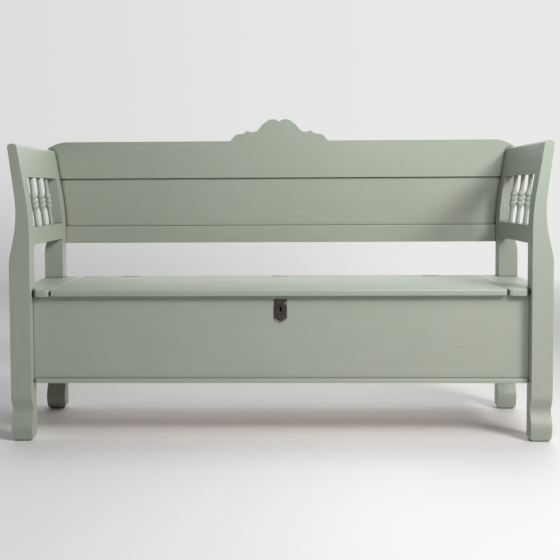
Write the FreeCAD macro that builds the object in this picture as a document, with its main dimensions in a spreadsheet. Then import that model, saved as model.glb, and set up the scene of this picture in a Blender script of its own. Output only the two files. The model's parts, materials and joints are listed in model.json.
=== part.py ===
import FreeCAD, Part
import math
import os
import Sketcher

# A settle bench with a storage box under its hinged seat.
# X runs along the bench, Y from its front to its back, Z up from the floor.
# The origin is under the middle of the bench, on the floor.

SIZES = {
    # whole bench
    "bench_width": 1750,
    "side_span": 400,
    "arm_height": 970,
    # posts, straight below and splayed outwards from the waist up
    "post_width": 67,
    "post_depth": 60,
    "post_top_width": 30,
    "shoulder_drop": 376,
    "shoulder_radius": 160,
    "waist_drop": 240,
    "waist_inset": 30.5,
    "waist_radius": 430,
    "inner_bend_drop": 226,
    "inner_bend_radius": 850,
    "arm_splay": 37.5,
    "top_round": 11,
    # feet, seen from the side
    "ankle_top": 143,
    "ankle_height": 100,
    "ankle_corner": 22,
    "ankle_radius": 30,
    "ankle_shoulder_radius": 60,
    "instep_height": 52,
    "instep_corner": 2.7,
    "instep_radius": 35,
    "toe_recess": 12,
    "toe_round": 7,
    "foot_round": 16,
    "heel_round": 20,
    # arms
    "arm_thickness": 30,
    "arm_board_height": 106,
    "arm_window_height": 166,
    "arm_rail_height": 57.5,
    "tenon_length": 25,
    "tenon_thickness": 12,
    "tenon_shoulder": 12,
    "joint_clearance": 0.2,
    # spindles
    "spindle_pitch": 98,
    "spindle_tenon_radius": 5,
    "spindle_tenon_length": 14,
    "spindle_shoulder_gap": 1,
    "spindle_end_radius": 7.2,
    "spindle_neck_radius": 6.4,
    "spindle_neck_height": 55,
    "spindle_taper_height": 40,
    "spindle_bead_radius": 11.8,
    "spindle_bead_top": 23,
    "spindle_bead_bottom": 10.5,
    "spindle_groove_radius": 8.8,
    "spindle_groove_height": 8.8,
    "spindle_ring_height": 6.8,
    "spindle_ring_radius": 11.3,
    # seat
    "seat_height": 495,
    "board_thickness": 22,
    "nose_setback": 15,
    "nose_round": 8,
    "nose_under_round": 3,
    "end_board_left": 63,
    "end_board_right": 75,
    "seam_gap": 3,
    "end_board_corner": 20,
    "end_board_edge_round": 6,
    "end_board_inset": 2,
    "post_clearance": 0.8,
    "hinge_rail_depth": 31,
    "lid_rest_gap": 0.2,
    # box
    "box_bottom": 189,
    "panel_setback": 36,
    "panel_thickness": 22,
    "tongue_length": 10,
    "tongue_thickness": 10,
    "end_panel_thickness": 20,
    "end_panel_inset": 10,
    "moulding_drop": 1,
    "moulding_height": 14,
    "moulding_projection": 11,
    "moulding_end_gap": 4,
    "moulding_end_round": 9,
    "moulding_nose_round": 5,
    "bearer_width": 40,
    "bearer_height": 22,
    "bearer_lift": 3,
    "bearer_inset": 208,
    "floor_thickness": 16,
    "floor_gap": 3,
    "floor_end_gap": 2,
    # lid battens
    "batten_inset": 378,
    "batten_width": 60,
    "batten_thickness": 18,
    "batten_front_gap": 65,
    "batten_back_gap": 45,
    # back
    "back_thickness": 22,
    "crest_rise": 31,
    "crest_height": 137.2,
    "crest_end_inset": 3,
    "crest_end_drop": 23,
    "crest_end_taper": 12,
    "crest_round_inset": 37,
    "crest_round_radius": 140,
    "crest_foot_round": 2,
    "back_panel_height": 179.8,
    "back_rail_height": 63,
    "back_rail_round": 4,
    "back_rail_end_inset": 25,
    "panel_recess": 8,
    "back_panel_end_inset": 34,
    "groove_depth": 8,
    "back_tongue_thickness": 7,
    # lock plate, keyhole and lock
    "lock_across": 3,
    "plate_width": 43,
    "plate_drop": 12.5,
    "plate_side": 66,
    "plate_point": 12,
    "plate_notch_start": 4.5,
    "plate_notch_length": 17,
    "plate_notch_depth": 1.5,
    "plate_thickness": 2.6,
    "plate_bevel": 1.2,
    "keyhole_drop": 23.5,
    "keyhole_height": 18,
    "keyhole_top_width": 10,
    "keyhole_bottom_width": 5,
    "keyhole_top_round": 4,
    "keyhole_bottom_round": 2,
    "keyhole_margin": 1,
    "plate_pin_radius": 2.0,
    "plate_pin_sink": 1.2,
    "plate_pin_length": 14,
    "plate_pin_upper": 6.5,
    "plate_pin_lower": 49,
    "lock_plate_width": 100,
    "lock_height": 58,
    "lock_plate_thickness": 2,
    "lock_case_width": 74,
    "lock_case_depth": 20,
    "lock_wall": 2,
    "lock_screw_spread": 43,
    "lock_screw_rise": 20,
    "bolt_height": 8,
    "bolt_thickness": 3,
    "bolt_length": 30,
    "bolt_drop": 18,
    "bolt_rest_gap": 1.5,
    "bolt_hole_clearance": 0.5,
    "lug_across": 12,
    "lug_thickness": 4,
    "lug_width": 7,
    "lug_slot_clearance": 3,
    "keeper_width": 50,
    "keeper_depth": 18,
    "keeper_thickness": 2,
    "keeper_screw_spread": 18,
    "guide_thickness": 2,
    "spring_thickness": 0.8,
    "spring_width": 6,
    "spring_gap": 0.4,
    "spring_run": 7,
    "key_pin_radius": 1.8,
    "key_pin_length": 26,
    # hinges
    "hinge_length": 60,
    "hinge_inset": 248,
    "hinge_drop": 21,
    "hinge_axis_rise": 0.2,
    "leaf_thickness": 1.8,
    "leaf_gap": 0.2,
    "knuckle_radius": 2.6,
    "knuckle_gap": 0.3,
    "knuckle_clearance": 0.6,
    "hinge_pin_radius": 1.3,
    "hinge_pin_clearance": 0.12,
    "hinge_screw_pitch": 20,
    "hinge_screw_drop": 15,
    # screws: small ones for hardware, large ones for boards
    "small_screw_radius": 1.6,
    "small_head_radius": 3.1,
    "small_screw_length": 15,
    "large_screw_radius": 2.2,
    "large_head_radius": 4.4,
    "large_screw_length": 34,
    "back_screw_length": 50,
    "screw_clearance": 0.1,
    "crest_screw_inset": 21,
    "crest_screw_low": 36,
    "crest_screw_high": 81,
    "rail_screw_inset": 40,
    "batten_screw_spread": 130,
}

# The scalloped middle of the crest rail, its right half from the middle outwards:
# name, distance from the middle, height over the straight top, rounding radius.
ORNAMENT = (
    ("centre_notch", 0, 72.5, 2),
    ("top_lobe", 26, 87, 34),
    ("knee", 62, 61.5, 8),
    ("hollow", 83, 36, 10),
    ("valley", 104, 32.5, 12),
    ("side_bump", 118, 39, 8),
    ("saddle", 133, 27.5, 8),
    ("side_lobe", 161, 25, 24),
    ("root", 184, 0, 3),
)
for point, across, up, radius in ORNAMENT:
    SIZES[point + "_across"] = across
    SIZES[point + "_up"] = up
    SIZES[point + "_radius"] = radius

KNUCKLES = 5
SIDES = (("left", -1), ("right", 1))


# A length that carries both its value and its expression in the sheet.
class Size:
    def __init__(self, value, text):
        self.value = value
        self.text = text

    def __add__(self, other):
        other = as_size(other)
        return Size(self.value + other.value, "(%s + %s)" % (self.text, other.text))

    def __sub__(self, other):
        other = as_size(other)
        return Size(self.value - other.value, "(%s - %s)" % (self.text, other.text))

    def __mul__(self, other):
        other = as_size(other)
        return Size(self.value * other.value, "(%s * %s)" % (self.text, other.text))

    def __truediv__(self, other):
        other = as_size(other)
        return Size(self.value / other.value, "(%s / %s)" % (self.text, other.text))

    def __neg__(self):
        return Size(-self.value, "(0 - %s)" % self.text)


def as_size(value):
    if isinstance(value, Size):
        return value
    return Size(float(value), "(%s)" % value)


def fill_sheet(document):
    cells = document.addObject("Spreadsheet::Sheet", "sizes")
    for row, (name, value) in enumerate(SIZES.items(), start=1):
        cells.set("A%d" % row, name)
        cells.set("B%d" % row, str(value))
        cells.setAlias("B%d" % row, name)
    document.recompute()
    return cells


doc = FreeCAD.newDocument("settle_bench")
sheet = fill_sheet(doc)


def s(name):
    return Size(float(sheet.get(name)), "sizes." + name)


# Places that several pieces share.
HALF = s("bench_width") / 2
INNER = HALF - s("post_width")
FRONT = -(s("post_depth") * 2 + s("side_span") + s("back_thickness")) / 2
FRONT_POST_REAR = FRONT + s("post_depth")
REAR_POST_FRONT = FRONT_POST_REAR + s("side_span")
REAR = REAR_POST_FRONT + s("post_depth")
SEAT_UNDER = s("seat_height") - s("board_thickness")
LID_UNDER = SEAT_UNDER + s("lid_rest_gap")
PANEL_FRONT = FRONT + s("panel_setback")
PANEL_REAR = PANEL_FRONT + s("panel_thickness")
BACK_PANEL_FRONT = REAR - s("panel_thickness")
NOSE = FRONT + s("nose_setback")
LEAF_SPACE = s("leaf_thickness") + s("leaf_gap")
HINGE_Y = REAR - s("hinge_rail_depth") - LEAF_SPACE
HINGE_Z = s("seat_height") + s("hinge_axis_rise")
BOLT_Y = PANEL_REAR + s("lock_case_depth") / 2
BOLT_BOTTOM = SEAT_UNDER - s("bolt_drop")
BEND = s("arm_height") - s("inner_bend_drop")
ARM_BOARD_UNDER = s("arm_height") - s("arm_board_height")
ARM_RAIL_TOP = ARM_BOARD_UNDER - s("arm_window_height")
ARM_RAIL_UNDER = ARM_RAIL_TOP - s("arm_rail_height")
SPINDLE_BASE_X = INNER + s("arm_thickness") / 2
CREST_TOP = s("arm_height") + s("crest_rise")
CREST_UNDER = CREST_TOP - s("crest_height")
BACK_RAIL_TOP = CREST_UNDER - s("back_panel_height")
BACK_RAIL_UNDER = BACK_RAIL_TOP - s("back_rail_height")
CREST_END = HALF - s("crest_end_inset")
PLATE_TOP = SEAT_UNDER - s("plate_drop")
KEYHOLE_TOP = PLATE_TOP - s("keyhole_drop")
SEAMS = {
    "left": INNER - s("end_board_left"),
    "right": INNER - s("end_board_right"),
}

LID_LEFT = -SEAMS["left"] + s("seam_gap") / 2
LID_RIGHT = SEAMS["right"] - s("seam_gap") / 2

nodes = {}


# Small helpers

def bind(item, prop, size):
    item.setExpression(prop, as_size(size).text)


def place(item, x=None, y=None, z=None):
    for axis, size in (("x", x), ("y", y), ("z", z)):
        if size is not None:
            bind(item, "Placement.Base." + axis, size)
    return item


def mirrored(side, low, high):
    """The span from low to high on the right side, or its mirror image on the left."""
    return (low, high) if side > 0 else (-high, -low)


def centred(middle, width):
    return (middle - width / 2, middle + width / 2)


def box(name, x, y, z):
    solid = doc.addObject("Part::Box", name)
    for prop, (low, high) in (("Length", x), ("Width", y), ("Height", z)):
        bind(solid, prop, as_size(high) - low)
    return place(solid, x[0], y[0], z[0])


def turned(item, axis, angle):
    item.Placement = FreeCAD.Placement(
        item.Placement.Base, FreeCAD.Rotation(FreeCAD.Vector(*axis), angle))
    return item


# How a solid that is made along +Z is turned to point along another axis.
POINTING = {
    "+x": ((0, 1, 0), 90),
    "-x": ((0, 1, 0), -90),
    "+y": ((1, 0, 0), -90),
    "-y": ((1, 0, 0), 90),
    "+z": ((0, 0, 1), 0),
    "-z": ((1, 0, 0), 180),
}


def rod(name, radius, length, x, y, z, pointing="+z"):
    solid = doc.addObject("Part::Cylinder", name)
    bind(solid, "Radius", radius)
    bind(solid, "Height", length)
    turned(solid, *POINTING[pointing])
    return place(solid, x, y, z)


def fuse(name, parts):
    whole = doc.addObject("Part::MultiFuse", name)
    whole.Shapes = parts
    return whole


def group(name, parts):
    whole = doc.addObject("Part::Compound", name)
    whole.Links = parts
    return whole


def cut(name, base, tools):
    result = doc.addObject("Part::Cut", name)
    result.Base = base
    result.Tool = tools[0] if len(tools) == 1 else fuse(name + "_tools", tools)
    return result


def shared(name, first, second):
    result = doc.addObject("Part::Common", name)
    result.Base = first
    result.Tool = second
    return result


def keep(name, item):
    item.Label = name
    nodes[name] = item
    return item


def origin_plane(body, role):
    return next(f for f in body.Origin.OriginFeatures if f.Role == role)


def new_sketch(body, name, plane):
    sketch = body.newObject("Sketcher::SketchObject", name)
    sketch.AttachmentSupport = (origin_plane(body, plane + "_Plane"), [""])
    sketch.MapMode = "FlatFace"
    return sketch


def constrain(sketch, size, *arguments):
    index = sketch.addConstraint(Sketcher.Constraint(*arguments, size.value))
    sketch.setExpression("Constraints[%d]" % index, size.text)


def round_corner(sketch, corner, back, ahead, radius, incoming, outgoing):
    """An arc tangent to the lines that meet at a corner."""
    half_angle = back.getAngle(ahead) / 2
    middle = corner + (back + ahead).normalize() * (radius.value / math.sin(half_angle))
    reach = radius.value / math.tan(half_angle)
    first = corner + back * reach - middle
    last = corner + ahead * reach - middle
    turns_left = ahead.cross(back).z > 0
    start, stop = (first, last) if turns_left else (last, first)
    start_angle = math.atan2(start.y, start.x)
    stop_angle = math.atan2(stop.y, stop.x)
    if stop_angle < start_angle:
        stop_angle += 2 * math.pi
    circle = Part.Circle(middle, FreeCAD.Vector(0, 0, 1), radius.value)
    arc = sketch.addGeometry(Part.ArcOfCircle(circle, start_angle, stop_angle), False)
    arc_in, arc_out = (1, 2) if turns_left else (2, 1)
    sketch.addConstraint(Sketcher.Constraint("Tangent", incoming, 2, arc, arc_in))
    sketch.addConstraint(Sketcher.Constraint("Tangent", outgoing, 1, arc, arc_out))
    constrain(sketch, radius, "Radius", arc)
    pin = sketch.addGeometry(Part.Point(corner), True)
    sketch.addConstraint(Sketcher.Constraint("PointOnObject", pin, 1, incoming))
    sketch.addConstraint(Sketcher.Constraint("PointOnObject", pin, 1, outgoing))
    return pin


def outline(sketch, corners):
    """A closed outline. A corner is (across, up) or (across, up, rounding radius)."""
    corners = [tuple(as_size(value) for value in corner) for corner in corners]
    points = [FreeCAD.Vector(corner[0].value, corner[1].value, 0) for corner in corners]
    count = len(corners)
    arrivals = []
    departures = []
    directions = []
    for index, corner in enumerate(corners):
        back = (points[index - 1] - points[index]).normalize()
        ahead = (points[(index + 1) % count] - points[index]).normalize()
        reach = corner[2].value / math.tan(back.getAngle(ahead) / 2) if len(corner) == 3 else 0
        directions.append((back, ahead))
        arrivals.append(points[index] + back * reach)
        departures.append(points[index] + ahead * reach)
    lines = []
    for index in range(count):
        line = Part.LineSegment(departures[index], arrivals[(index + 1) % count])
        lines.append(sketch.addGeometry(line, False))
    for index, corner in enumerate(corners):
        incoming = lines[index - 1]
        outgoing = lines[index]
        if len(corner) == 3:
            back, ahead = directions[index]
            held = round_corner(
                sketch, points[index], back, ahead, corner[2], incoming, outgoing)
        else:
            sketch.addConstraint(Sketcher.Constraint("Coincident", incoming, 2, outgoing, 1))
            held = outgoing
        constrain(sketch, corner[0], "DistanceX", -1, 1, held, 1)
        constrain(sketch, corner[1], "DistanceY", -1, 1, held, 1)


def prism(name, plane, corners, start, stop):
    """A body with one outline, padded square to its plane from start to stop."""
    body = doc.addObject("PartDesign::Body", name)
    sketch = new_sketch(body, name + "_outline", plane)
    outline(sketch, corners)
    pad = body.newObject("PartDesign::Pad", name + "_pad")
    pad.Profile = sketch
    pad.Reversed = plane == "XZ"
    bind(pad, "Length", as_size(stop) - start)
    sketch.Visibility = False
    axis = {"XY": "z", "XZ": "y", "YZ": "x"}[plane]
    place(body, **{axis: start})
    return body


def rectangle(x, y):
    return [(x[0], y[0]), (x[1], y[0]), (x[1], y[1]), (x[0], y[1])]


def dress_edges(body, kind, name, size_property, size, wanted):
    """Rounds or bevels the edges of the last feature that the test picks out."""
    doc.recompute()
    base = body.Tip
    picked = []
    for index, edge in enumerate(base.Shape.Edges, start=1):
        if wanted(edge):
            picked.append("Edge%d" % index)
    feature = body.newObject("PartDesign::" + kind, name)
    feature.Base = (base, picked)
    bind(feature, size_property, size)
    return feature


def revolved(name, corners):
    """A body turned about the Z axis from the half profile (radius, height)."""
    body = doc.addObject("PartDesign::Body", name)
    sketch = new_sketch(body, name + "_profile", "XZ")
    outline(sketch, corners)
    turning = body.newObject("PartDesign::Revolution", name + "_turning")
    turning.Profile = sketch
    turning.ReferenceAxis = (sketch, ["V_Axis"])
    turning.Angle = 360
    sketch.Visibility = False
    return body


# Screws: a countersunk head whose flat top lies at the given place

def screw_solid(name, kind, length, where, pointing, extra):
    """One countersunk screw, or with extra > 0 the hole that it goes in."""
    shank = s(kind + "_screw_radius") + extra
    head = s(kind + "_head_radius") + extra
    head_depth = head - shank
    cone = doc.addObject("Part::Cone", name + "_head")
    bind(cone, "Radius1", head)
    bind(cone, "Radius2", shank)
    bind(cone, "Height", head_depth)
    turned(cone, *POINTING[pointing])
    place(cone, *where)
    stem = rod(name + "_shank", shank, length + extra, *where, pointing=pointing)
    return fuse(name, [cone, stem])


def screws(name, kind, length, places, pointing):
    solids = []
    for index, where in enumerate(places, start=1):
        solids.append(screw_solid("%s_%d" % (name, index), kind, length, where, pointing, as_size(0)))
    return keep(name, group(name, solids))


def screw_holes(name, kind, length, places, pointing):
    holes = []
    for index, where in enumerate(places, start=1):
        hole_name = "%s_hole_%d" % (name, index)
        holes.append(screw_solid(hole_name, kind, length, where, pointing, s("screw_clearance")))
    return holes


# End frames

def arm_inner(height):
    """Where the splayed inner face of the posts and arms is at a height."""
    return INNER + s("arm_splay") * (as_size(height) - BEND) / s("inner_bend_drop")


def post_outline(side):
    top = s("arm_height")
    top_inner = INNER + s("arm_splay")
    corners = (
        (INNER, 0, s("foot_round")),
        (HALF, 0, s("foot_round")),
        (HALF, top - s("shoulder_drop"), s("shoulder_radius")),
        (HALF - s("waist_inset"), top - s("waist_drop"), s("waist_radius")),
        (top_inner + s("post_top_width"), top, s("top_round")),
        (top_inner, top, s("top_round")),
        (INNER, BEND, s("inner_bend_radius")),
    )
    return [(corner[0] * side,) + corner[1:] for corner in corners]


def foot_outline(face):
    """The side view of a post: ankle, instep and toe at the front, a rounded heel."""
    over = s("arm_height") + s("top_round")
    return [
        (face, over),
        (face, s("ankle_top"), s("ankle_shoulder_radius")),
        (face + s("ankle_corner"), s("ankle_height"), s("ankle_radius")),
        (face - s("instep_corner"), s("instep_height"), s("instep_radius")),
        (face + s("toe_recess"), 0, s("toe_round")),
        (face + s("post_depth"), 0, s("heel_round")),
        (face + s("post_depth"), over),
    ]


def tenon_outline(side, low, high, clearance):
    """The X-Z section of an arm board's tenon, which follows the splay of the board."""
    first = (s("arm_thickness") - s("tenon_thickness")) / 2 - clearance
    last = (s("arm_thickness") + s("tenon_thickness")) / 2 + clearance
    bottom = low + s("tenon_shoulder") - clearance
    top = high - s("tenon_shoulder") + clearance
    straight = high.value <= BEND.value
    bottom_x = INNER if straight else arm_inner(bottom)
    top_x = INNER if straight else arm_inner(top)
    corners = (
        (bottom_x + first, bottom),
        (bottom_x + last, bottom),
        (top_x + last, top),
        (top_x + first, top),
    )
    return [(x * side, z) for x, z in corners]


ARM_BOARDS = {
    "arm_lower_rail": (ARM_RAIL_UNDER, ARM_RAIL_TOP),
    "arm_top_rail": (ARM_BOARD_UNDER, s("arm_height")),
}


def make_posts():
    for side_name, side in SIDES:
        for end, face in (("front", FRONT), ("rear", REAR_POST_FRONT)):
            name = "%s_post_%s" % (end, side_name)
            front_view = prism(
                name + "_front_view", "XZ", post_outline(side),
                face - s("post_depth"), face + s("post_depth") * 2)
            span = mirrored(side, INNER - s("post_width"), HALF + s("post_width"))
            side_view = prism(name + "_side_view", "YZ", foot_outline(face), *span)
            blank = shared(name + "_blank", front_view, side_view)
            keep(name, cut(name, blank, post_mortises(name, end, side, face)))


def post_mortises(name, end, side, face):
    clearance = s("joint_clearance")
    inside = FRONT_POST_REAR if end == "front" else REAR_POST_FRONT
    outward = -1 if end == "front" else 1
    tools = []
    depth = (s("tenon_length") + clearance) * outward
    for board, (low, high) in ARM_BOARDS.items():
        section = tenon_outline(side, low, high, clearance)
        start, stop = (inside + depth, inside) if outward < 0 else (inside, inside + depth)
        tools.append(prism("%s_%s_mortise" % (name, board), "XZ", section, start, stop))
    # groove for the box panel that meets the inner face of the post
    panel = PANEL_FRONT if end == "front" else BACK_PANEL_FRONT
    middle = panel + s("panel_thickness") / 2
    groove_x = mirrored(side, INNER, INNER + s("tongue_length") + clearance)
    groove_y = centred(middle, s("tongue_thickness") + clearance * 2)
    groove_z = (s("box_bottom") - clearance, SEAT_UNDER)
    tools.append(box(name + "_panel_groove", groove_x, groove_y, groove_z))
    # groove for the end panel, in the face that looks at the other post
    middle = HALF - s("end_panel_inset") - s("end_panel_thickness") / 2
    groove_depth = (s("tongue_length") + clearance) * outward
    ends = (inside + groove_depth, inside) if outward < 0 else (inside, inside + groove_depth)
    groove_x = mirrored(side, *centred(middle, s("tongue_thickness") + clearance * 2))
    tools.append(box(name + "_end_groove", groove_x, ends, groove_z))
    # holes for the screws that hold the back
    if end == "rear":
        places = [where for where in back_screw_places() if where[0].value * side > 0]
        tools += screw_holes(name + "_back_screw", "large", s("back_screw_length"), places, "-y")
    return tools


def arm_section(side, low, high):
    if high.value <= BEND.value:
        return rectangle(mirrored(side, INNER, INNER + s("arm_thickness")), (low, high))
    corners = (
        (arm_inner(low), low),
        (arm_inner(low) + s("arm_thickness"), low),
        (arm_inner(high) + s("arm_thickness"), high, s("top_round")),
        (arm_inner(high), high, s("top_round")),
    )
    return [(corner[0] * side,) + corner[1:] for corner in corners]


def make_arms():
    for side_name, side in SIDES:
        holes = [spindle_hole(side_name, side, place_name) for place_name in SPINDLE_PLACES]
        hole_group = fuse("spindle_holes_" + side_name, holes)
        for board, (low, high) in ARM_BOARDS.items():
            name = "%s_%s" % (board, side_name)
            body = prism(
                name + "_body", "XZ", arm_section(side, low, high),
                FRONT_POST_REAR, REAR_POST_FRONT)
            tenon = prism(
                name + "_tenon", "XZ", tenon_outline(side, low, high, as_size(0)),
                FRONT_POST_REAR - s("tenon_length"), REAR_POST_FRONT + s("tenon_length"))
            keep(name, cut(name, fuse(name + "_blank", [body, tenon]), [hole_group]))


# Spindles, which lean outwards with the arm

SPINDLE_PLACES = {"front": -1, "middle": 0, "rear": 1}
SPINDLE_RISE = s("arm_window_height")
SPINDLE_RUN = arm_inner(ARM_BOARD_UNDER) + s("arm_thickness") / 2 - SPINDLE_BASE_X
SPINDLE_LENGTH = Size(
    math.hypot(SPINDLE_RISE.value, SPINDLE_RUN.value),
    "sqrt(%s ^ 2 + %s ^ 2)" % (SPINDLE_RISE.text, SPINDLE_RUN.text))


def lean(item, side):
    """Tilts an upright piece outwards by the angle of the spindles."""
    item.Placement = FreeCAD.Placement(
        FreeCAD.Vector(), FreeCAD.Rotation(FreeCAD.Vector(0, side, 0), 1))
    item.setExpression(
        "Placement.Rotation.Angle", "atan(%s / %s)" % (SPINDLE_RUN.text, SPINDLE_RISE.text))
    return item


def spindle_y(place_name):
    middle = (FRONT_POST_REAR + REAR_POST_FRONT) / 2
    return middle + s("spindle_pitch") * SPINDLE_PLACES[place_name]


def spindle_hole(side_name, side, place_name):
    """One straight hole that enters both boards of an arm along the spindle's axis."""
    name = "spindle_hole_%s_%s" % (side_name, place_name)
    hole = revolved(name, rectangle(
        (as_size(0), s("spindle_tenon_radius") + s("joint_clearance")),
        (-s("spindle_tenon_length") - s("joint_clearance"),
         SPINDLE_LENGTH + s("spindle_tenon_length") + s("joint_clearance"))))
    lean(hole, side)
    return place(hole, SPINDLE_BASE_X * side, spindle_y(place_name), ARM_RAIL_TOP)


def spindle_profile():
    """The half profile: tenon, neck, taper, bead, groove and ring, alike above and below."""
    middle = SPINDLE_LENGTH / 2
    end = middle - s("spindle_shoulder_gap")
    half = (
        (s("spindle_ring_radius"), s("spindle_ring_height"), 3),
        (s("spindle_groove_radius"), s("spindle_groove_height"), 0.8),
        (s("spindle_bead_radius"), s("spindle_bead_bottom"), 3),
        (s("spindle_bead_radius"), s("spindle_bead_top"), 5),
        (s("spindle_neck_radius"), s("spindle_taper_height"), 12),
        (s("spindle_neck_radius"), s("spindle_neck_height"), 40),
        (s("spindle_end_radius"), end),
        (s("spindle_tenon_radius"), end),
        (s("spindle_tenon_radius"), middle + s("spindle_tenon_length")),
        (as_size(0), middle + s("spindle_tenon_length")),
    )
    upper = [(corner[0], middle + corner[1]) + corner[2:] for corner in half]
    lower = [(corner[0], middle - corner[1]) + corner[2:] for corner in reversed(half)]
    return lower + upper


def make_spindles():
    for side_name, side in SIDES:
        for place_name in SPINDLE_PLACES:
            name = "arm_spindle_%s_%s" % (side_name, place_name)
            spindle = revolved(name, spindle_profile())
            lean(spindle, side)
            place(spindle, SPINDLE_BASE_X * side, spindle_y(place_name), ARM_RAIL_TOP)
            keep(name, spindle)


# Box under the seat

def long_panel(name, y, tools):
    """A panel between the left and right posts, with a tongue along each end."""
    board = box(name + "_board", (-INNER, INNER), y, (s("box_bottom"), SEAT_UNDER))
    tongue_x = (-INNER - s("tongue_length"), INNER + s("tongue_length"))
    tongue_y = centred(y[0] + s("panel_thickness") / 2, s("tongue_thickness"))
    lifted = (s("box_bottom"), SEAT_UNDER - s("joint_clearance"))
    tongue = box(name + "_tongue", tongue_x, tongue_y, lifted)
    whole = fuse(name + "_whole", [board, tongue])
    keep(name, cut(name, whole, tools) if tools else whole)


def make_box():
    pin_holes = [
        rod("panel_pin_hole_%d" % index, s("plate_pin_radius") + s("screw_clearance"),
            s("plate_pin_length"), s("lock_across"), PANEL_FRONT, height, "+y")
        for index, height in enumerate(plate_pin_heights(), start=1)]
    keyhole = prism(
        "panel_keyhole", "XZ", keyhole_outline(s("keyhole_margin")),
        PANEL_FRONT - s("panel_thickness"), PANEL_REAR + s("panel_thickness"))
    lock_holes = screw_holes(
        "panel_lock_screw", "small", s("small_screw_length"), lock_screw_places(), "-y")
    long_panel("box_front_panel", (PANEL_FRONT, PANEL_REAR), [keyhole] + pin_holes + lock_holes)
    long_panel("box_back_panel", (BACK_PANEL_FRONT, REAR), [])
    for side_name, side in SIDES:
        name = "box_end_panel_" + side_name
        outer = HALF - s("end_panel_inset")
        middle = outer - s("end_panel_thickness") / 2
        board = box(
            name + "_board", mirrored(side, outer - s("end_panel_thickness"), outer),
            (FRONT_POST_REAR, REAR_POST_FRONT), (s("box_bottom"), SEAT_UNDER))
        tongue = box(
            name + "_tongue", mirrored(side, *centred(middle, s("tongue_thickness"))),
            (FRONT_POST_REAR - s("tongue_length"), REAR_POST_FRONT + s("tongue_length")),
            (s("box_bottom"), SEAT_UNDER - s("joint_clearance")))
        keep(name, fuse(name, [board, tongue]))


def make_moulding():
    front = PANEL_FRONT - s("moulding_projection")
    end = INNER - s("moulding_end_gap")
    bottom = s("box_bottom") - s("moulding_drop")
    body = prism(
        "base_moulding", "XY",
        [(-end, PANEL_FRONT), (-end, front, s("moulding_end_round")),
         (end, front, s("moulding_end_round")), (end, PANEL_FRONT)],
        bottom, bottom + s("moulding_height"))
    round_top_edges(body, "moulding_nose", s("moulding_nose_round"), PANEL_FRONT)
    keep("base_moulding", body)


def round_top_edges(body, name, radius, back_y):
    """Rounds the top edges of a flat board, apart from those that lie at back_y."""
    doc.recompute()
    top = body.Tip.Shape.BoundBox.ZMax

    def wanted(edge):
        bounds = edge.BoundBox
        at_top = abs(bounds.ZMin - top) < 0.001
        at_back = bounds.YMin > back_y.value - 0.001
        return at_top and not at_back

    dress_edges(body, "Fillet", name, "Radius", radius, wanted)


def make_floor():
    lift = s("box_bottom") + s("bearer_lift")
    bearer_top = lift + s("bearer_height")
    for name, step in (("left", -1), ("middle", 0), ("right", 1)):
        across = centred((INNER - s("bearer_inset")) * step, s("bearer_width"))
        keep("floor_bearer_" + name, box(
            "floor_bearer_" + name, across, (PANEL_REAR, BACK_PANEL_FRONT), (lift, bearer_top)))
    floor_z = (bearer_top, bearer_top + s("floor_thickness"))
    pitch = (BACK_PANEL_FRONT - FRONT_POST_REAR) / 3
    end = HALF - s("end_panel_inset") - s("end_panel_thickness") - s("floor_end_gap")
    between_posts = INNER - s("floor_end_gap")
    for index, name in enumerate(("front", "middle", "rear")):
        low = FRONT_POST_REAR + pitch * index + s("floor_gap") / 2
        high = FRONT_POST_REAR + pitch * (index + 1) - s("floor_gap") / 2
        name = "floor_board_" + name
        if index < 2:
            keep(name, box(name, (-end, end), (low, high), floor_z))
        else:
            notch = REAR_POST_FRONT - s("floor_end_gap")
            wide = box(name + "_wide", (-end, end), (low, notch), floor_z)
            narrow = box(name + "_narrow", (-between_posts, between_posts), (low, high), floor_z)
            keep(name, fuse(name, [wide, narrow]))


# Seat

def make_end_boards():
    for side_name, side in SIDES:
        seam = SEAMS[side_name] + s("seam_gap") / 2
        outer = HALF - s("end_board_inset")
        beside = INNER - s("post_clearance")
        notch_front = FRONT_POST_REAR + s("post_clearance")
        notch_rear = REAR_POST_FRONT - s("post_clearance")
        corners = [
            (seam, NOSE, s("end_board_corner")),
            (beside, NOSE, s("end_board_corner")),
            (beside, notch_front),
            (outer, notch_front),
            (outer, notch_rear),
            (beside, notch_rear),
            (beside, REAR),
            (seam, REAR),
        ]
        name = "seat_end_board_" + side_name
        body = prism(
            name, "XY", [(corner[0] * side,) + corner[1:] for corner in corners],
            SEAT_UNDER, s("seat_height"))
        round_front_edge(body, name + "_nose", s("end_board_edge_round"))
        keep(name, body)


def round_front_edge(body, name, radius):
    """Rounds the top edge along the front of a seat board and round its front corners."""
    doc.recompute()
    top = body.Tip.Shape.BoundBox.ZMax
    limit = NOSE.value + s("end_board_corner").value + 0.001

    def wanted(edge):
        bounds = edge.BoundBox
        return abs(bounds.ZMin - top) < 0.001 and bounds.YMax < limit

    dress_edges(body, "Fillet", name, "Radius", radius, wanted)


def lid_outline():
    rear = HINGE_Y - LEAF_SPACE
    return [
        (NOSE, LID_UNDER, s("nose_under_round")),
        (rear, LID_UNDER),
        (rear, s("seat_height")),
        (NOSE, s("seat_height"), s("nose_round")),
    ]


def hinge_gains(name):
    """Notches that leave room for the hinge barrels."""
    room = s("knuckle_radius") + s("knuckle_clearance")
    gains = []
    for hinge, across in HINGES.items():
        gains.append(box(
            "%s_gain_%s" % (name, hinge),
            centred(across, s("hinge_length") + s("knuckle_clearance") * 2),
            (HINGE_Y - room, HINGE_Y + room),
            (HINGE_Z - room, HINGE_Z + room)))
    return gains


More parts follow.
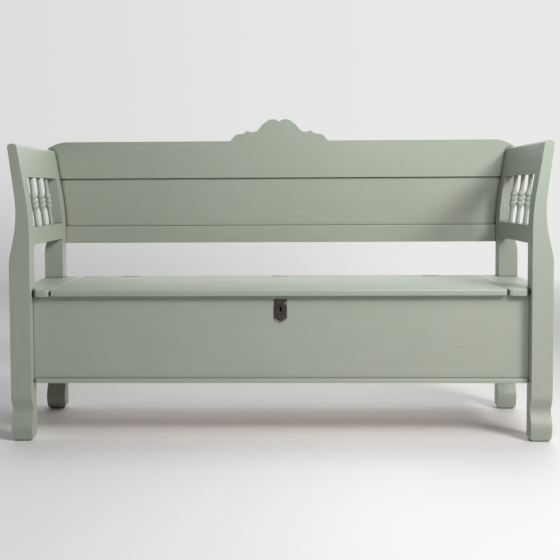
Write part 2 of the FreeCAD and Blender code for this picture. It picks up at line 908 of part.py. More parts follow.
def make_lid():
    blank = prism("seat_lid_blank", "YZ", lid_outline(), LID_LEFT, LID_RIGHT)
    tools = hinge_gains("lid")
    tools += screw_holes(
        "lid_hinge_screw", "small", s("small_screw_length"), hinge_screw_places(-1), "-y")
    tools += screw_holes(
        "lid_batten_screw", "large", s("large_screw_length"), batten_screw_places(), "+z")
    tools += screw_holes(
        "lid_keeper_screw", "small", s("small_screw_length"), keeper_screw_places(), "+z")
    keep("seat_lid", cut("seat_lid", blank, tools))


def make_hinge_rail():
    blank = box(
        "hinge_rail_blank", (LID_LEFT, LID_RIGHT),
        (HINGE_Y + LEAF_SPACE, REAR), (SEAT_UNDER, s("seat_height")))
    tools = hinge_gains("rail")
    tools += screw_holes(
        "rail_hinge_screw", "small", s("small_screw_length"), hinge_screw_places(1), "+y")
    keep("seat_hinge_rail", cut("seat_hinge_rail", blank, tools))


def batten_middle(side):
    return (INNER - s("batten_inset")) * side


def batten_span():
    return (NOSE + s("batten_front_gap"), HINGE_Y - s("batten_back_gap"))


def batten_screw_places():
    low, high = batten_span()
    middle = (low + high) / 2
    under = LID_UNDER - s("batten_thickness")
    return [
        (batten_middle(side), middle + s("batten_screw_spread") * step, under)
        for _, side in SIDES for step in (-1, 0, 1)]


def make_battens():
    places = batten_screw_places()
    for side_name, side in SIDES:
        name = "lid_batten_" + side_name
        blank = box(
            name + "_blank", centred(batten_middle(side), s("batten_width")),
            batten_span(), (LID_UNDER - s("batten_thickness"), LID_UNDER))
        own = [where for where in places if where[0].value * side > 0]
        holes = screw_holes(name + "_screw", "large", s("large_screw_length"), own, "+z")
        keep(name, cut(name, blank, holes))
    screws("lid_batten_screws", "large", s("large_screw_length"), places, "+z")


# Back

def ornament_corners():
    """The scalloped middle of the crest, from its left root to its right root."""
    right = []
    for point, _, _, _ in ORNAMENT:
        right.append((s(point + "_across"), CREST_TOP + s(point + "_up"), s(point + "_radius")))
    left = [(-across, height, radius) for across, height, radius in reversed(right[1:])]
    return left + right


def crest_outline():
    foot = CREST_END - s("crest_end_taper")
    right = [
        (CREST_END - s("crest_round_inset"), CREST_TOP, s("crest_round_radius")),
        (CREST_END, CREST_TOP - s("crest_end_drop"), s("crest_foot_round")),
        (foot, CREST_UNDER, s("crest_foot_round")),
    ]
    left = [(-corner[0],) + corner[1:] for corner in reversed(right)]
    return left + ornament_corners() + right


def back_screw_places():
    rear = REAR + s("back_thickness")
    places = []
    for _, side in SIDES:
        crest_x = (HALF - s("crest_screw_inset")) * side
        rail_x = (HALF - s("rail_screw_inset")) * side
        places.append((crest_x, rear, CREST_UNDER + s("crest_screw_low")))
        places.append((crest_x, rear, CREST_UNDER + s("crest_screw_high")))
        places.append((rail_x, rear, BACK_RAIL_UNDER + s("back_rail_height") / 2))
    return places


def make_back():
    rear = REAR + s("back_thickness")
    clearance = s("joint_clearance")
    panel_front = REAR + s("panel_recess")
    panel_middle = (panel_front + rear) / 2
    groove_y = centred(panel_middle, s("back_tongue_thickness") + clearance * 2)
    across = (-HALF, HALF)
    crest_groove = box(
        "crest_groove", across, groove_y,
        (CREST_UNDER - s("groove_depth"), CREST_UNDER + s("groove_depth")))
    rail_groove = box(
        "rail_groove", across, groove_y,
        (BACK_RAIL_TOP - s("groove_depth"), BACK_RAIL_TOP + s("groove_depth")))
    places = back_screw_places()
    low_places = [where for where in places if where[2].value < CREST_UNDER.value]
    high_places = [where for where in places if where[2].value > CREST_UNDER.value]
    length = s("back_screw_length")
    crest = prism("crest_blank", "XZ", crest_outline(), REAR, rear)
    crest_holes = screw_holes("crest_screw", "large", length, high_places, "-y")
    keep("crest_rail", cut("crest_rail", crest, [crest_groove] + crest_holes))
    rail_end = HALF - s("back_rail_end_inset")
    rail_section = [
        (REAR, BACK_RAIL_UNDER),
        (rear, BACK_RAIL_UNDER),
        (rear, BACK_RAIL_TOP),
        (REAR, BACK_RAIL_TOP, s("back_rail_round")),
    ]
    rail = prism("back_rail_blank", "YZ", rail_section, -rail_end, rail_end)
    rail_holes = screw_holes("rail_screw", "large", length, low_places, "-y")
    keep("back_lower_rail", cut("back_lower_rail", rail, [rail_groove] + rail_holes))
    panel_end = HALF - s("back_panel_end_inset")
    sides = (-panel_end, panel_end)
    board = box(
        "back_panel_board", sides, (panel_front, rear),
        (BACK_RAIL_TOP + clearance, CREST_UNDER - clearance))
    tongue = box(
        "back_panel_tongue", sides, centred(panel_middle, s("back_tongue_thickness")),
        (BACK_RAIL_TOP - s("groove_depth") + clearance,
         CREST_UNDER + s("groove_depth") - clearance))
    keep("back_panel", fuse("back_panel", [board, tongue]))
    screws("back_screws", "large", length, places, "-y")


# Hinges between the hinge rail and the lid

HINGES = {
    "left": -(INNER - s("hinge_inset")),
    "middle": as_size(0),
    "right": INNER - s("hinge_inset"),
}


def hinge_screw_places(side):
    """Screw heads lie flush in the leaves; side is +1 on the rail and -1 on the lid."""
    face = HINGE_Y + s("leaf_gap") * side
    return [
        (across + s("hinge_screw_pitch") * step, face, HINGE_Z - s("hinge_screw_drop"))
        for across in HINGES.values() for step in (-1, 0, 1)]


def hinge_leaf(name, across, side, own_knuckles):
    """A leaf that stands in the seam, with its share of the knuckles."""
    inner = HINGE_Y + s("leaf_gap") * side
    outer = HINGE_Y + LEAF_SPACE * side
    leaf_y = (inner, outer) if side > 0 else (outer, inner)
    room = s("knuckle_radius") + s("knuckle_gap")
    first = across - s("hinge_length") / 2
    pieces = [box(
        name + "_plate", centred(across, s("hinge_length")), leaf_y,
        (HINGE_Z - s("hinge_drop"), HINGE_Z - room))]
    step = s("hinge_length") / KNUCKLES
    for index in own_knuckles:
        low = first + step * index + s("knuckle_gap") / 2
        high = first + step * (index + 1) - s("knuckle_gap") / 2
        neck_name = "%s_neck_%d" % (name, index)
        pieces.append(box(neck_name, (low, high), leaf_y, (HINGE_Z - room, HINGE_Z)))
        pieces.append(rod(
            "%s_knuckle_%d" % (name, index), s("knuckle_radius"), high - low,
            low, HINGE_Y, HINGE_Z, "+x"))
    bore = rod(
        name + "_bore", s("hinge_pin_radius") + s("hinge_pin_clearance"), s("hinge_length"),
        first, HINGE_Y, HINGE_Z, "+x")
    places = [
        where for where in hinge_screw_places(side)
        if abs(where[0].value - across.value) < s("hinge_length").value / 2]
    pointing = "+y" if side > 0 else "-y"
    holes = screw_holes(name + "_screw", "small", s("small_screw_length"), places, pointing)
    keep(name, cut(name, fuse(name + "_whole", pieces), [bore] + holes))


def make_hinges():
    rail_knuckles = [index for index in range(KNUCKLES) if index % 2 == 0]
    lid_knuckles = [index for index in range(KNUCKLES) if index % 2 == 1]
    for hinge, across in HINGES.items():
        hinge_leaf("hinge_rail_leaf_" + hinge, across, 1, rail_knuckles)
        hinge_leaf("hinge_lid_leaf_" + hinge, across, -1, lid_knuckles)
        keep("hinge_pin_" + hinge, rod(
            "hinge_pin_" + hinge, s("hinge_pin_radius"), s("hinge_length"),
            across - s("hinge_length") / 2, HINGE_Y, HINGE_Z, "+x"))
    screws("hinge_rail_screws", "small", s("small_screw_length"), hinge_screw_places(1), "+y")
    screws("hinge_lid_screws", "small", s("small_screw_length"), hinge_screw_places(-1), "-y")


# Lock plate and lock

def keyhole_outline(margin):
    centre = s("lock_across")
    top_half = s("keyhole_top_width") / 2 + margin
    bottom_half = s("keyhole_bottom_width") / 2 + margin
    top = KEYHOLE_TOP + margin
    bottom = KEYHOLE_TOP - s("keyhole_height") - margin
    return [
        (centre - bottom_half, bottom, s("keyhole_bottom_round")),
        (centre + bottom_half, bottom, s("keyhole_bottom_round")),
        (centre + top_half, top, s("keyhole_top_round")),
        (centre - top_half, top, s("keyhole_top_round")),
    ]


def plate_pin_heights():
    return (PLATE_TOP - s("plate_pin_upper"), PLATE_TOP - s("plate_pin_lower"))


def make_lock_plate():
    centre = s("lock_across")
    half = s("plate_width") / 2
    waist = half - s("plate_notch_depth")
    notch_top = PLATE_TOP - s("plate_notch_start")
    notch_bottom = notch_top - s("plate_notch_length")
    corner = PLATE_TOP - s("plate_side")
    right = [
        (half, corner),
        (half, notch_bottom),
        (waist, notch_bottom + s("plate_notch_depth")),
        (waist, notch_top - s("plate_notch_depth")),
        (half, notch_top),
        (half, PLATE_TOP),
    ]
    left = [(-across, height) for across, height in reversed(right)]
    tip = [(as_size(0), corner - s("plate_point"))]
    corners = [(centre + across, height) for across, height in tip + right + left]
    back = PANEL_FRONT
    front = PANEL_FRONT - s("plate_thickness")
    body = prism("lock_plate_blank", "XZ", corners, front, back)
    doc.recompute()

    def on_front(edge):
        return edge.BoundBox.YMax < body.Tip.Shape.BoundBox.YMin + 0.001

    dress_edges(body, "Chamfer", "lock_plate_bevel", "Size", s("plate_bevel"), on_front)
    keyhole = prism(
        "plate_keyhole", "XZ", keyhole_outline(as_size(0)),
        front - s("plate_thickness"), back + s("plate_thickness"))
    holes = [keyhole]
    pins = []
    for index, height in enumerate(plate_pin_heights(), start=1):
        hole_radius = s("plate_pin_radius") + s("screw_clearance")
        holes.append(rod(
            "plate_pin_hole_%d" % index, hole_radius, s("plate_thickness") * 2,
            centre, front - s("plate_thickness"), height, "+y"))
        sunk = front + s("plate_pin_sink")
        pins.append(rod(
            "plate_pin_%d" % index, s("plate_pin_radius"), s("plate_pin_length"),
            centre, sunk, height, "+y"))
    keep("lock_escutcheon", cut("lock_escutcheon", body, holes))
    keep("escutcheon_pins", group("escutcheon_pins", pins))


def lock_screw_places():
    middle = SEAT_UNDER - s("lock_height") / 2
    face = PANEL_REAR + s("lock_plate_thickness")
    return [
        (s("lock_across") + s("lock_screw_spread") * side, face, middle + s("lock_screw_rise") * step)
        for _, side in SIDES for step in (-1, 1)]


def keeper_screw_places():
    return [
        (s("lock_across") + s("keeper_screw_spread") * side, BOLT_Y,
         LID_UNDER - s("keeper_thickness"))
        for _, side in SIDES]


def make_lock():
    centre = s("lock_across")
    plate_y = (PANEL_REAR, PANEL_REAR + s("lock_plate_thickness"))
    case_y = (PANEL_REAR, PANEL_REAR + s("lock_case_depth"))
    wall = s("lock_wall")
    top = SEAT_UNDER - s("keeper_thickness") - s("joint_clearance")
    bottom = SEAT_UNDER - s("lock_height")
    half = s("lock_case_width") / 2
    plate = box(
        "lock_case_plate", centred(centre, s("lock_plate_width")), plate_y, (bottom, top))
    case = box("lock_case_box", (centre - half, centre + half), case_y, (bottom, top))
    cavity = box(
        "lock_case_cavity", (centre - half + wall, centre + half - wall),
        (plate_y[1], case_y[1] - wall), (bottom + wall, top - wall))
    lug_x = (centre + s("lug_across"), centre + s("lug_across") + s("lug_thickness"))
    spare = s("lug_slot_clearance")
    slot = box(
        "lock_case_slot", (lug_x[0] - spare / 2, lug_x[1] + spare / 2),
        centred(BOLT_Y, s("lug_width") + spare * 2), (top - wall * 2, top + wall))
    keyhole = prism(
        "lock_case_keyhole", "XZ", keyhole_outline(s("keyhole_margin")),
        PANEL_REAR - wall, plate_y[1] + wall / 2)
    holes = screw_holes(
        "lock_case_screw", "small", s("small_screw_length"), lock_screw_places(), "-y")
    shell = cut(
        "lock_case_shell", fuse("lock_case_solid", [plate, case]),
        [cavity, slot, keyhole] + holes)
    keep("lock_case", fuse("lock_case", [shell, bolt_guide(lug_x[0], top - wall, bottom + wall)]))
    screws("lock_screws", "small", s("small_screw_length"), lock_screw_places(), "-y")

    stop = lug_x[0] - s("bolt_rest_gap")
    bolt_z = (BOLT_BOTTOM, BOLT_BOTTOM + s("bolt_height"))
    keep("lock_bolt", box(
        "lock_bolt", (stop - s("bolt_length"), stop), centred(BOLT_Y, s("bolt_thickness")), bolt_z))

    keep("lock_spring", leaf_spring(stop - s("bolt_length"), bolt_z[1], top - wall))

    pin_stop = case_y[1] - wall
    keep("lock_key_pin", rod(
        "lock_key_pin", s("key_pin_radius"), s("key_pin_length"), centre,
        pin_stop - s("key_pin_length"),
        KEYHOLE_TOP - s("keyhole_top_width") / 2, "+y"))
    make_keeper(lug_x)


def leaf_spring(bolt_end, bolt_top, ceiling):
    """A bent strip that hangs from the ceiling of the case and bears on the bolt."""
    thick = s("spring_thickness")
    low = bolt_top + s("spring_gap")
    run = s("spring_run")
    corners = [
        (bolt_end, ceiling - thick),
        (bolt_end + run, ceiling - thick, 2),
        (bolt_end + run * 2, low, 2),
        (bolt_end + run * 3, low),
        (bolt_end + run * 3, low + thick),
        (bolt_end + run * 2, low + thick, 2),
        (bolt_end + run, ceiling, 2),
        (bolt_end, ceiling),
    ]
    return prism("lock_spring", "XZ", corners, *centred(BOLT_Y, s("spring_width")))


def bolt_guide(lug_start, ceiling, floor):
    """A wall inside the case whose window holds the bolt in line."""
    stop = lug_start - s("bolt_rest_gap") * 3
    across = (stop - s("guide_thickness"), stop)
    depth = (PANEL_REAR + s("lock_plate_thickness"), PANEL_REAR + s("lock_case_depth") - s("lock_wall"))
    wall = box("bolt_guide_wall", across, depth, (BOLT_BOTTOM - s("bolt_height"), ceiling))
    spare = s("bolt_hole_clearance")
    window = box(
        "bolt_guide_window", (across[0] - spare, across[1] + spare),
        centred(BOLT_Y, s("bolt_thickness") + spare * 2),
        (BOLT_BOTTOM - spare, BOLT_BOTTOM + s("bolt_height") + spare))
    return cut("bolt_guide", wall, [window])


def make_keeper(lug_x):
    """A plate let in under the lid, with a lug that the bolt slides through."""
    centre = s("lock_across")
    plate = box(
        "keeper_plate", centred(centre, s("keeper_width")), centred(BOLT_Y, s("keeper_depth")),
        (LID_UNDER - s("keeper_thickness"), LID_UNDER))
    spare = s("bolt_hole_clearance") * 2
    lug = box(
        "keeper_lug", lug_x, centred(BOLT_Y, s("lug_width")),
        (BOLT_BOTTOM - spare * 2, LID_UNDER))
    hole = box(
        "keeper_hole", (lug_x[0] - spare, lug_x[1] + spare),
        centred(BOLT_Y, s("bolt_thickness") + spare),
        (BOLT_BOTTOM - spare, BOLT_BOTTOM + s("bolt_height") + spare))
    holes = screw_holes(
        "keeper_screw", "small", s("small_screw_length"), keeper_screw_places(), "+z")
    keep("lock_keeper", cut("lock_keeper", fuse("keeper_whole", [plate, lug]), [hole] + holes))
    screws("keeper_screws", "small", s("small_screw_length"), keeper_screw_places(), "+z")


def check_document():
    for item in doc.Objects:
        for state in item.State:
            if state in ("Invalid", "Error"):
                raise RuntimeError("%s failed: %s" % (item.Name, item.State))


def write_parts():
    os.makedirs("parts", exist_ok=True)
    for name, item in nodes.items():
        shape = item.Shape
        if shape.isNull() or not shape.isValid() or not shape.Solids:
            raise RuntimeError("%s has no valid solid" % name)
    for name, item in nodes.items():
        item.Shape.exportStep("parts/%s.step" % name)
        bounds = item.Shape.BoundBox
        print("%-26s %d solid(s)  %.0f x %.0f x %.0f mm" % (
            name, len(item.Shape.Solids), bounds.XLength, bounds.YLength, bounds.ZLength))


make_posts()
make_arms()
make_spindles()
make_box()
make_moulding()
make_floor()
make_end_boards()
make_lid()
make_hinge_rail()
make_battens()
make_back()
make_hinges()
make_lock_plate()
make_lock()
doc.recompute()
check_document()
write_parts()
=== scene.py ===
# %% [markdown]
# # A painted settle bench, dressed over its CAD frame
# The bench is a long seat over a storage box, with splayed arms, turned spindles and a
# scalloped back, painted sage green. The CAD model holds every real piece at its real size,
# in metres, so this lesson never measures again: it reads the pieces, softens and paints
# them, and lights them as in a small studio.

# %% Load the frame
import json
import math

import bmesh
import bpy
from mathutils import Matrix, Vector

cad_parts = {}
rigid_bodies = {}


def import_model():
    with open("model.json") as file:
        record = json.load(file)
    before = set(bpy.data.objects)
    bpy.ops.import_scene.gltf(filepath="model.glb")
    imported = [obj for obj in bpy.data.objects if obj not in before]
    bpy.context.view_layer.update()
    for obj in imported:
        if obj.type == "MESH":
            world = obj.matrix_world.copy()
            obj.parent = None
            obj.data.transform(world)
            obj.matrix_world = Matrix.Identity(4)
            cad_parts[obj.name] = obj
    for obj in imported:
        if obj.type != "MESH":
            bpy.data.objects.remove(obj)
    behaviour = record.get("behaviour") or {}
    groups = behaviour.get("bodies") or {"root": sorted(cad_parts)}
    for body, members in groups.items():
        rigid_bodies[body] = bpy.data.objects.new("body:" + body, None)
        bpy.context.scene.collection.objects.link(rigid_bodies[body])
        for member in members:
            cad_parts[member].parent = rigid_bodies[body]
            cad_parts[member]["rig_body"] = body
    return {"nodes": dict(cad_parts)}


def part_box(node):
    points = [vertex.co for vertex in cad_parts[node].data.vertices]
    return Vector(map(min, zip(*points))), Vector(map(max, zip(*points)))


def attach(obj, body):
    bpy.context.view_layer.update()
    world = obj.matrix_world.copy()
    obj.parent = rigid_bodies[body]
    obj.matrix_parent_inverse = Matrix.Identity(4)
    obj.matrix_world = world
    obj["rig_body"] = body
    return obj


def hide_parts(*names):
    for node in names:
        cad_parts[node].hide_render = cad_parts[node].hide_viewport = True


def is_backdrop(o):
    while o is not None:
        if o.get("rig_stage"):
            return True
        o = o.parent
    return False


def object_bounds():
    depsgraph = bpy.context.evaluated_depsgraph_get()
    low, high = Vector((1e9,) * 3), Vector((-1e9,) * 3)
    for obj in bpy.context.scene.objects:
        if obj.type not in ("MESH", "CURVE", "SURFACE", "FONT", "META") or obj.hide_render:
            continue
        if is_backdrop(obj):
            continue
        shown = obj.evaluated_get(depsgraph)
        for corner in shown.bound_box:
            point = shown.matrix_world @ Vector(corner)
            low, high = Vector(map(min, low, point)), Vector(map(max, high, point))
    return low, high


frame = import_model()
cad_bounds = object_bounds()
parts = frame["nodes"]
print(len(parts), "pieces in the frame, box", [round(v, 3) for c in cad_bounds for v in c])

# %% [markdown]
# ## The camera
# A photograph of a long bench is usually taken from a few metres away at the height of the
# back, nearly level, with the view shifted rather than tilted so that uprights stay upright.
# The camera's place, turn and lens were worked out from the bench's own straight edges. They
# are set here as three plain turns, so each can be read and changed by itself.

# %% Set the camera
SENSOR_MM = 36
LENS_MM = 60.07
CAMERA_PLACE = (0.0081, -3.2647, 0.8124)
SHIFT_ACROSS, SHIFT_UP = 0.0430, -0.0796
TURN_LEFT, TILT_DOWN, ROLL = (math.radians(a) for a in (1.575, 2.698, -0.314))

camera = bpy.data.objects.new("camera", bpy.data.cameras.new("camera"))
bpy.context.scene.collection.objects.link(camera)
bpy.context.scene.camera = camera
camera.data.sensor_width = SENSOR_MM
camera.data.lens = LENS_MM
camera.data.shift_x, camera.data.shift_y = SHIFT_ACROSS, SHIFT_UP
turn = (Matrix.Rotation(TURN_LEFT, 4, "Z")
        @ Matrix.Rotation(math.pi / 2 - TILT_DOWN, 4, "X")
        @ Matrix.Rotation(ROLL, 4, "Z"))
camera.matrix_world = Matrix.Translation(CAMERA_PLACE) @ turn
print("camera at", CAMERA_PLACE, "with a", LENS_MM, "mm lens")

# %% [markdown]
# ## A few helpers
# Materials and Geometry Nodes are both trees of nodes. Everything below adds a node the same
# way: its kind, its settings, and what feeds each input, either a value or another socket.
# Colours are written as sRGB hex values, as a paint chart gives them, and one function turns
# them into the linear values that Blender works with. Every pattern follows Object coordinates,
# which are metres on the bench, so it stays on its piece when the piece moves.

# %% Node and colour helpers
def add_node(tree, kind, feeds=None, **settings):
    node = tree.nodes.new(kind)
    for name, value in settings.items():
        setattr(node, name, value)
    for socket, source in (feeds or {}).items():
        if isinstance(source, bpy.types.NodeSocket):
            tree.links.new(source, node.inputs[socket])
        else:
            node.inputs[socket].default_value = source
    return node


def linear(hex_colour):
    channels = [int(hex_colour[i:i + 2], 16) / 255 for i in (1, 3, 5)]
    return tuple(
        c / 12.92 if c <= 0.04045 else ((c + 0.055) / 1.055) ** 2.4 for c in channels) + (1,)


def colour_ramp(tree, factor, stops):
    ramp = add_node(tree, "ShaderNodeValToRGB", {"Fac": factor})
    elements = ramp.color_ramp.elements
    while len(elements) < len(stops):
        elements.new(0.5)
    for element, (position, colour) in zip(elements, stops):
        element.position = position
        element.color = colour
    return ramp.outputs["Color"]


def grey(value):
    return (value, value, value, 1)


def empty_material(name):
    """A new material, its bare tree, and the place on the piece that its patterns follow."""
    material = bpy.data.materials.new(name)
    material.use_nodes = True
    tree = material.node_tree
    tree.nodes.clear()
    return material, tree, add_node(tree, "ShaderNodeTexCoord").outputs["Object"]


# A Mix node has a socket for each kind of data; these are the places of its colour sockets.
MIX_FACTOR, MIX_A, MIX_B, MIX_RESULT = 0, 6, 7, 2
print("helpers: add_node, linear, colour_ramp, grey, empty_material")

# %% [markdown]
# ## Sage milk paint on pine
# Milk paint is brushed on along each board and dries to a soft, slightly chalky satin. From a
# few steps away it shows three things: faint cloudy patches where the coat is thinner and the
# warm wood tints it, long fine brush lines along the board, and a sheen that varies a little.
# Brush lines follow the length of a board, so one function makes the paint for a length along
# X, Y or Z. Bristle lines are about 1 mm apart, too fine to show here, so they are drawn as
# coarse as the bands that neighbouring strokes leave, about 9 mm.
#
# Corners, seams and recesses are darkened with painted shade and made duller. It is deepest in
# the groove under the crest and in the seams of the seat, and faint on the base moulding and the
# hinges. Ambient Occlusion tells how closed in a spot is, so the painted shade needs no
# drawing: it follows the shape.

# %% Painted pine
PAINT = "#A5AC9E"
PAINT_WARM = "#A9AB9F"
PAINT_COOL = "#A1AB9C"
STROKE_BAND = 0.009  # metres, as all lengths here
STROKE_STRETCH = 0.035  # a band is about 30 times as long as it is wide
CLOUD_SIZE = 0.35
SPECK_SIZE = 0.004
BRUSH_RELIEF = 0.0004
CHALKY, SATIN = 0.56, 0.42  # roughness in the valleys and on the ridges of the strokes
# The tone that painted shade darkens the paint towards in corners, seams and recesses.
SHADE_TONE = "#6B6A5C"
# Painted shade: how far it reaches from a corner, and how open a spot may be that is still fully
# shaded.
CORNER_SHADE = (0.008, 0.30)
GROOVE_SHADE = (0.020, 0.48)
FAINT_SHADE = (0.002, 0.30)


def painted_pine(name, along, shade_reach, shade_full_at):
    """Sage milk paint whose brush lines run along one axis, with painted shade in its corners."""
    material, tree, place = empty_material(name)
    stretch = [1 / STROKE_BAND] * 3
    stretch["XYZ".index(along)] *= STROKE_STRETCH
    strokes_at = add_node(tree, "ShaderNodeMapping", {"Vector": place, "Scale": stretch})
    strokes = add_node(tree, "ShaderNodeTexNoise", {
        "Vector": strokes_at.outputs["Vector"], "Scale": 1, "Detail": 5, "Roughness": 0.6})
    clouds = add_node(tree, "ShaderNodeTexNoise", {
        "Vector": place, "Scale": 1 / CLOUD_SIZE, "Detail": 4, "Roughness": 0.55})
    specks = add_node(tree, "ShaderNodeTexNoise", {
        "Vector": place, "Scale": 1 / SPECK_SIZE, "Detail": 2})
    tint = colour_ramp(tree, clouds.outputs["Fac"], [
        (0.34, linear(PAINT_COOL)), (0.52, linear(PAINT)), (0.70, linear(PAINT_WARM))])
    streak = colour_ramp(tree, strokes.outputs["Fac"], [
        (0.30, grey(0.965)), (0.52, grey(1.0)), (0.72, grey(1.03))])
    colour = add_node(tree, "ShaderNodeMix", {
        MIX_FACTOR: 1.0, MIX_A: tint, MIX_B: streak}, data_type="RGBA", blend_type="MULTIPLY")
    # Painted shade: where a spot is closed in, the colour is darkened and the same share raises
    # the roughness.
    corners = add_node(tree, "ShaderNodeAmbientOcclusion", {"Distance": shade_reach}, samples=8)
    corner_shade = colour_ramp(tree, corners.outputs["AO"], [
        (shade_full_at, grey(0.96)), (0.86, grey(0.0))])
    shaded = add_node(tree, "ShaderNodeMix", {
        MIX_FACTOR: corner_shade, MIX_A: colour.outputs[MIX_RESULT], MIX_B: linear(SHADE_TONE)},
        data_type="RGBA", blend_type="MULTIPLY")
    sheen = colour_ramp(tree, strokes.outputs["Fac"], [(0.3, grey(CHALKY)), (0.7, grey(SATIN))])
    dull = add_node(tree, "ShaderNodeMath", {0: sheen, 1: corner_shade}, operation="MAXIMUM")
    relief = add_node(tree, "ShaderNodeMath", {
        0: strokes.outputs["Fac"], 1: specks.outputs["Fac"]}, operation="ADD")
    bump = add_node(tree, "ShaderNodeBump", {
        "Height": relief.outputs["Value"], "Strength": 0.35, "Distance": BRUSH_RELIEF})
    shader = add_node(tree, "ShaderNodeBsdfPrincipled", {
        "Base Color": shaded.outputs[MIX_RESULT], "Roughness": dull.outputs["Value"],
        "Normal": bump.outputs["Normal"], "IOR": 1.48})
    add_node(tree, "ShaderNodeOutputMaterial", {"Surface": shader.outputs["BSDF"]})
    return material


paint_along = {axis: painted_pine(
    "sage_milk_paint_along_" + axis.lower(), axis, *CORNER_SHADE) for axis in "XYZ"}
# Deeper painted shade for the crest groove and the seat's seams; a faint one for moulding and
# hinges.
paint_deep_shade = {axis: painted_pine(
    "sage_milk_paint_dusty_along_" + axis.lower(), axis, *GROOVE_SHADE) for axis in "XY"}
paint_faint_shade = painted_pine("sage_milk_paint_faint_shade", "X", *FAINT_SHADE)
print("paints:", [m.name for m in (
    *paint_along.values(), *paint_deep_shade.values(), paint_faint_shade)])

# %% [markdown]
# ## Bare pine inside the box
# The inside floor and battens were never painted. Planed pine shows growth rings as long
# darker lines, about 14 mm apart here, over wood that has turned from honey to greyish brown
# with age.

# %% Bare pine
RING_SPACING = 0.01381
WAVE_LENGTH = math.tau / 20  # of a Wave Texture whose Scale is 1
FIBRE_SIZE = 1 / 260
GRAIN_SQUEEZE = 0.05  # on coordinates along the grain, so patterns are 20 times longer there
PINE_LIGHT, PINE_MIDDLE, PINE_DARK = "#B9A285", "#A48C6C", "#8C765A"


def bare_pine(name, along):
    """Aged pine whose grain runs along one axis of the bench."""
    material, tree, place = empty_material(name)
    stretch = [1.0] * 3
    stretch["XYZ".index(along)] = GRAIN_SQUEEZE
    grain_at = add_node(tree, "ShaderNodeMapping", {"Vector": place, "Scale": stretch})
    across = "Y" if along == "X" else "X"
    rings = add_node(tree, "ShaderNodeTexWave", {
        "Vector": grain_at.outputs["Vector"], "Scale": WAVE_LENGTH / RING_SPACING,
        "Distortion": 7.0, "Detail": 3.0, "Detail Scale": 1.2},
        wave_type="BANDS", bands_direction=across)
    fibres = add_node(tree, "ShaderNodeTexNoise", {
        "Vector": grain_at.outputs["Vector"], "Scale": 1 / FIBRE_SIZE, "Detail": 3})
    mixed = add_node(tree, "ShaderNodeMath", {
        0: rings.outputs["Fac"], 1: fibres.outputs["Fac"]}, operation="MULTIPLY")
    colour = colour_ramp(tree, mixed.outputs["Value"], [
        (0.05, linear(PINE_LIGHT)), (0.45, linear(PINE_MIDDLE)), (0.75, linear(PINE_DARK))])
    bump = add_node(tree, "ShaderNodeBump", {
        "Height": mixed.outputs["Value"], "Strength": 0.3, "Distance": 0.0003})
    shader = add_node(tree, "ShaderNodeBsdfPrincipled", {
        "Base Color": colour, "Roughness": 0.62, "Normal": bump.outputs["Normal"]})
    add_node(tree, "ShaderNodeOutputMaterial", {"Surface": shader.outputs["BSDF"]})
    return material


bare_along = {axis: bare_pine("bare_pine_along_" + axis.lower(), axis) for axis in "XY"}
print("bare woods:", [m.name for m in bare_along.values()])

# %% [markdown]
# ## Dull steel and old iron
# Screws and the lock inside are plain drawn steel gone dull. Its turning marks are too fine to
# show, and so are drawn as soft blotches of 2 mm. The pins of the lock plate and the pin for
# the key are painted dull and nearly black, painted shade that makes them read as the dark
# holes they sit in.

# %% Metals
def old_metal(name, dark, light, roughness, pit_size, metallic):
    """Metal whose pits and larger blotches change its colour, its dullness and its relief."""
    material, tree, place = empty_material(name)
    pits = add_node(tree, "ShaderNodeTexNoise", {
        "Vector": place, "Scale": 1 / pit_size, "Detail": 6, "Roughness": 0.65})
    blotches = add_node(tree, "ShaderNodeTexNoise", {
        "Vector": place, "Scale": 0.25 / pit_size, "Detail": 3})
    mixed = add_node(tree, "ShaderNodeMath", {
        0: pits.outputs["Fac"], 1: blotches.outputs["Fac"]}, operation="MULTIPLY")
    colour = colour_ramp(tree, mixed.outputs["Value"], [
        (0.14, linear(dark)), (0.42, linear(light))])
    dull = colour_ramp(tree, pits.outputs["Fac"], [
        (0.3, grey(min(1, roughness + 0.15))), (0.7, grey(roughness))])
    bump = add_node(tree, "ShaderNodeBump", {
        "Height": pits.outputs["Fac"], "Strength": 0.5, "Distance": pit_size / 6})
    shader = add_node(tree, "ShaderNodeBsdfPrincipled", {
        "Base Color": colour, "Roughness": dull, "Metallic": metallic,
        "Normal": bump.outputs["Normal"]})
    add_node(tree, "ShaderNodeOutputMaterial", {"Surface": shader.outputs["BSDF"]})
    return material


dull_steel = old_metal("dulled_drawn_steel", "#55504B", "#8D8883", 0.42, 0.002, 0.85)
# Near-black pins: painted shade, so they read as dark holes.
pin_shade_black = old_metal("pins_black_painted_shade", "#0D0A0A", "#1B1716", 0.6, 0.002, 0.2)
print("metals:", dull_steel.name, pin_shade_black.name)

# %% [markdown]
# The lock plate is forged iron, pitted at about 3 mm, with painted light and shade laid out in
# zones. Its middle is reddish brown. A border about 6 mm wide is darkened to greenish black as
# painted shade, and the pointed lower edge, one spot at the upper right and the rim of the
# keyhole, with the other filed edges, are lightened as painted highlights. The zones are laid
# out from the plate's own box, so they stay in place if the plate changes size. A Bevel node
# rounds the look of its filed edges, and the turn between that and the true surface says where
# an edge is.

# %% Iron for the lock plate
RUST_DARK, RUST_LIGHT = "#251B1C", "#514040"
# Painted shade along the border; painted highlights on the lower point, one spot and the edges.
BORDER_SHADE_TONE = "#3A3A31"
HIGHLIGHT_TONE = "#9B947F"
BORDER_WIDTH = 0.006
POINT_SLOPE = 0.56  # rise of the pointed lower edge for each metre sideways
PLATE_PIT = 1 / 300
PLATE_PATCH = 1 / 90
PLATE_RELIEF = 0.0006
ZONE_UNEVENNESS = 0.004
FILED_ROUND = 0.003
SPOT_FROM_SIDE, SPOT_FROM_TOP = 0.005, 0.012


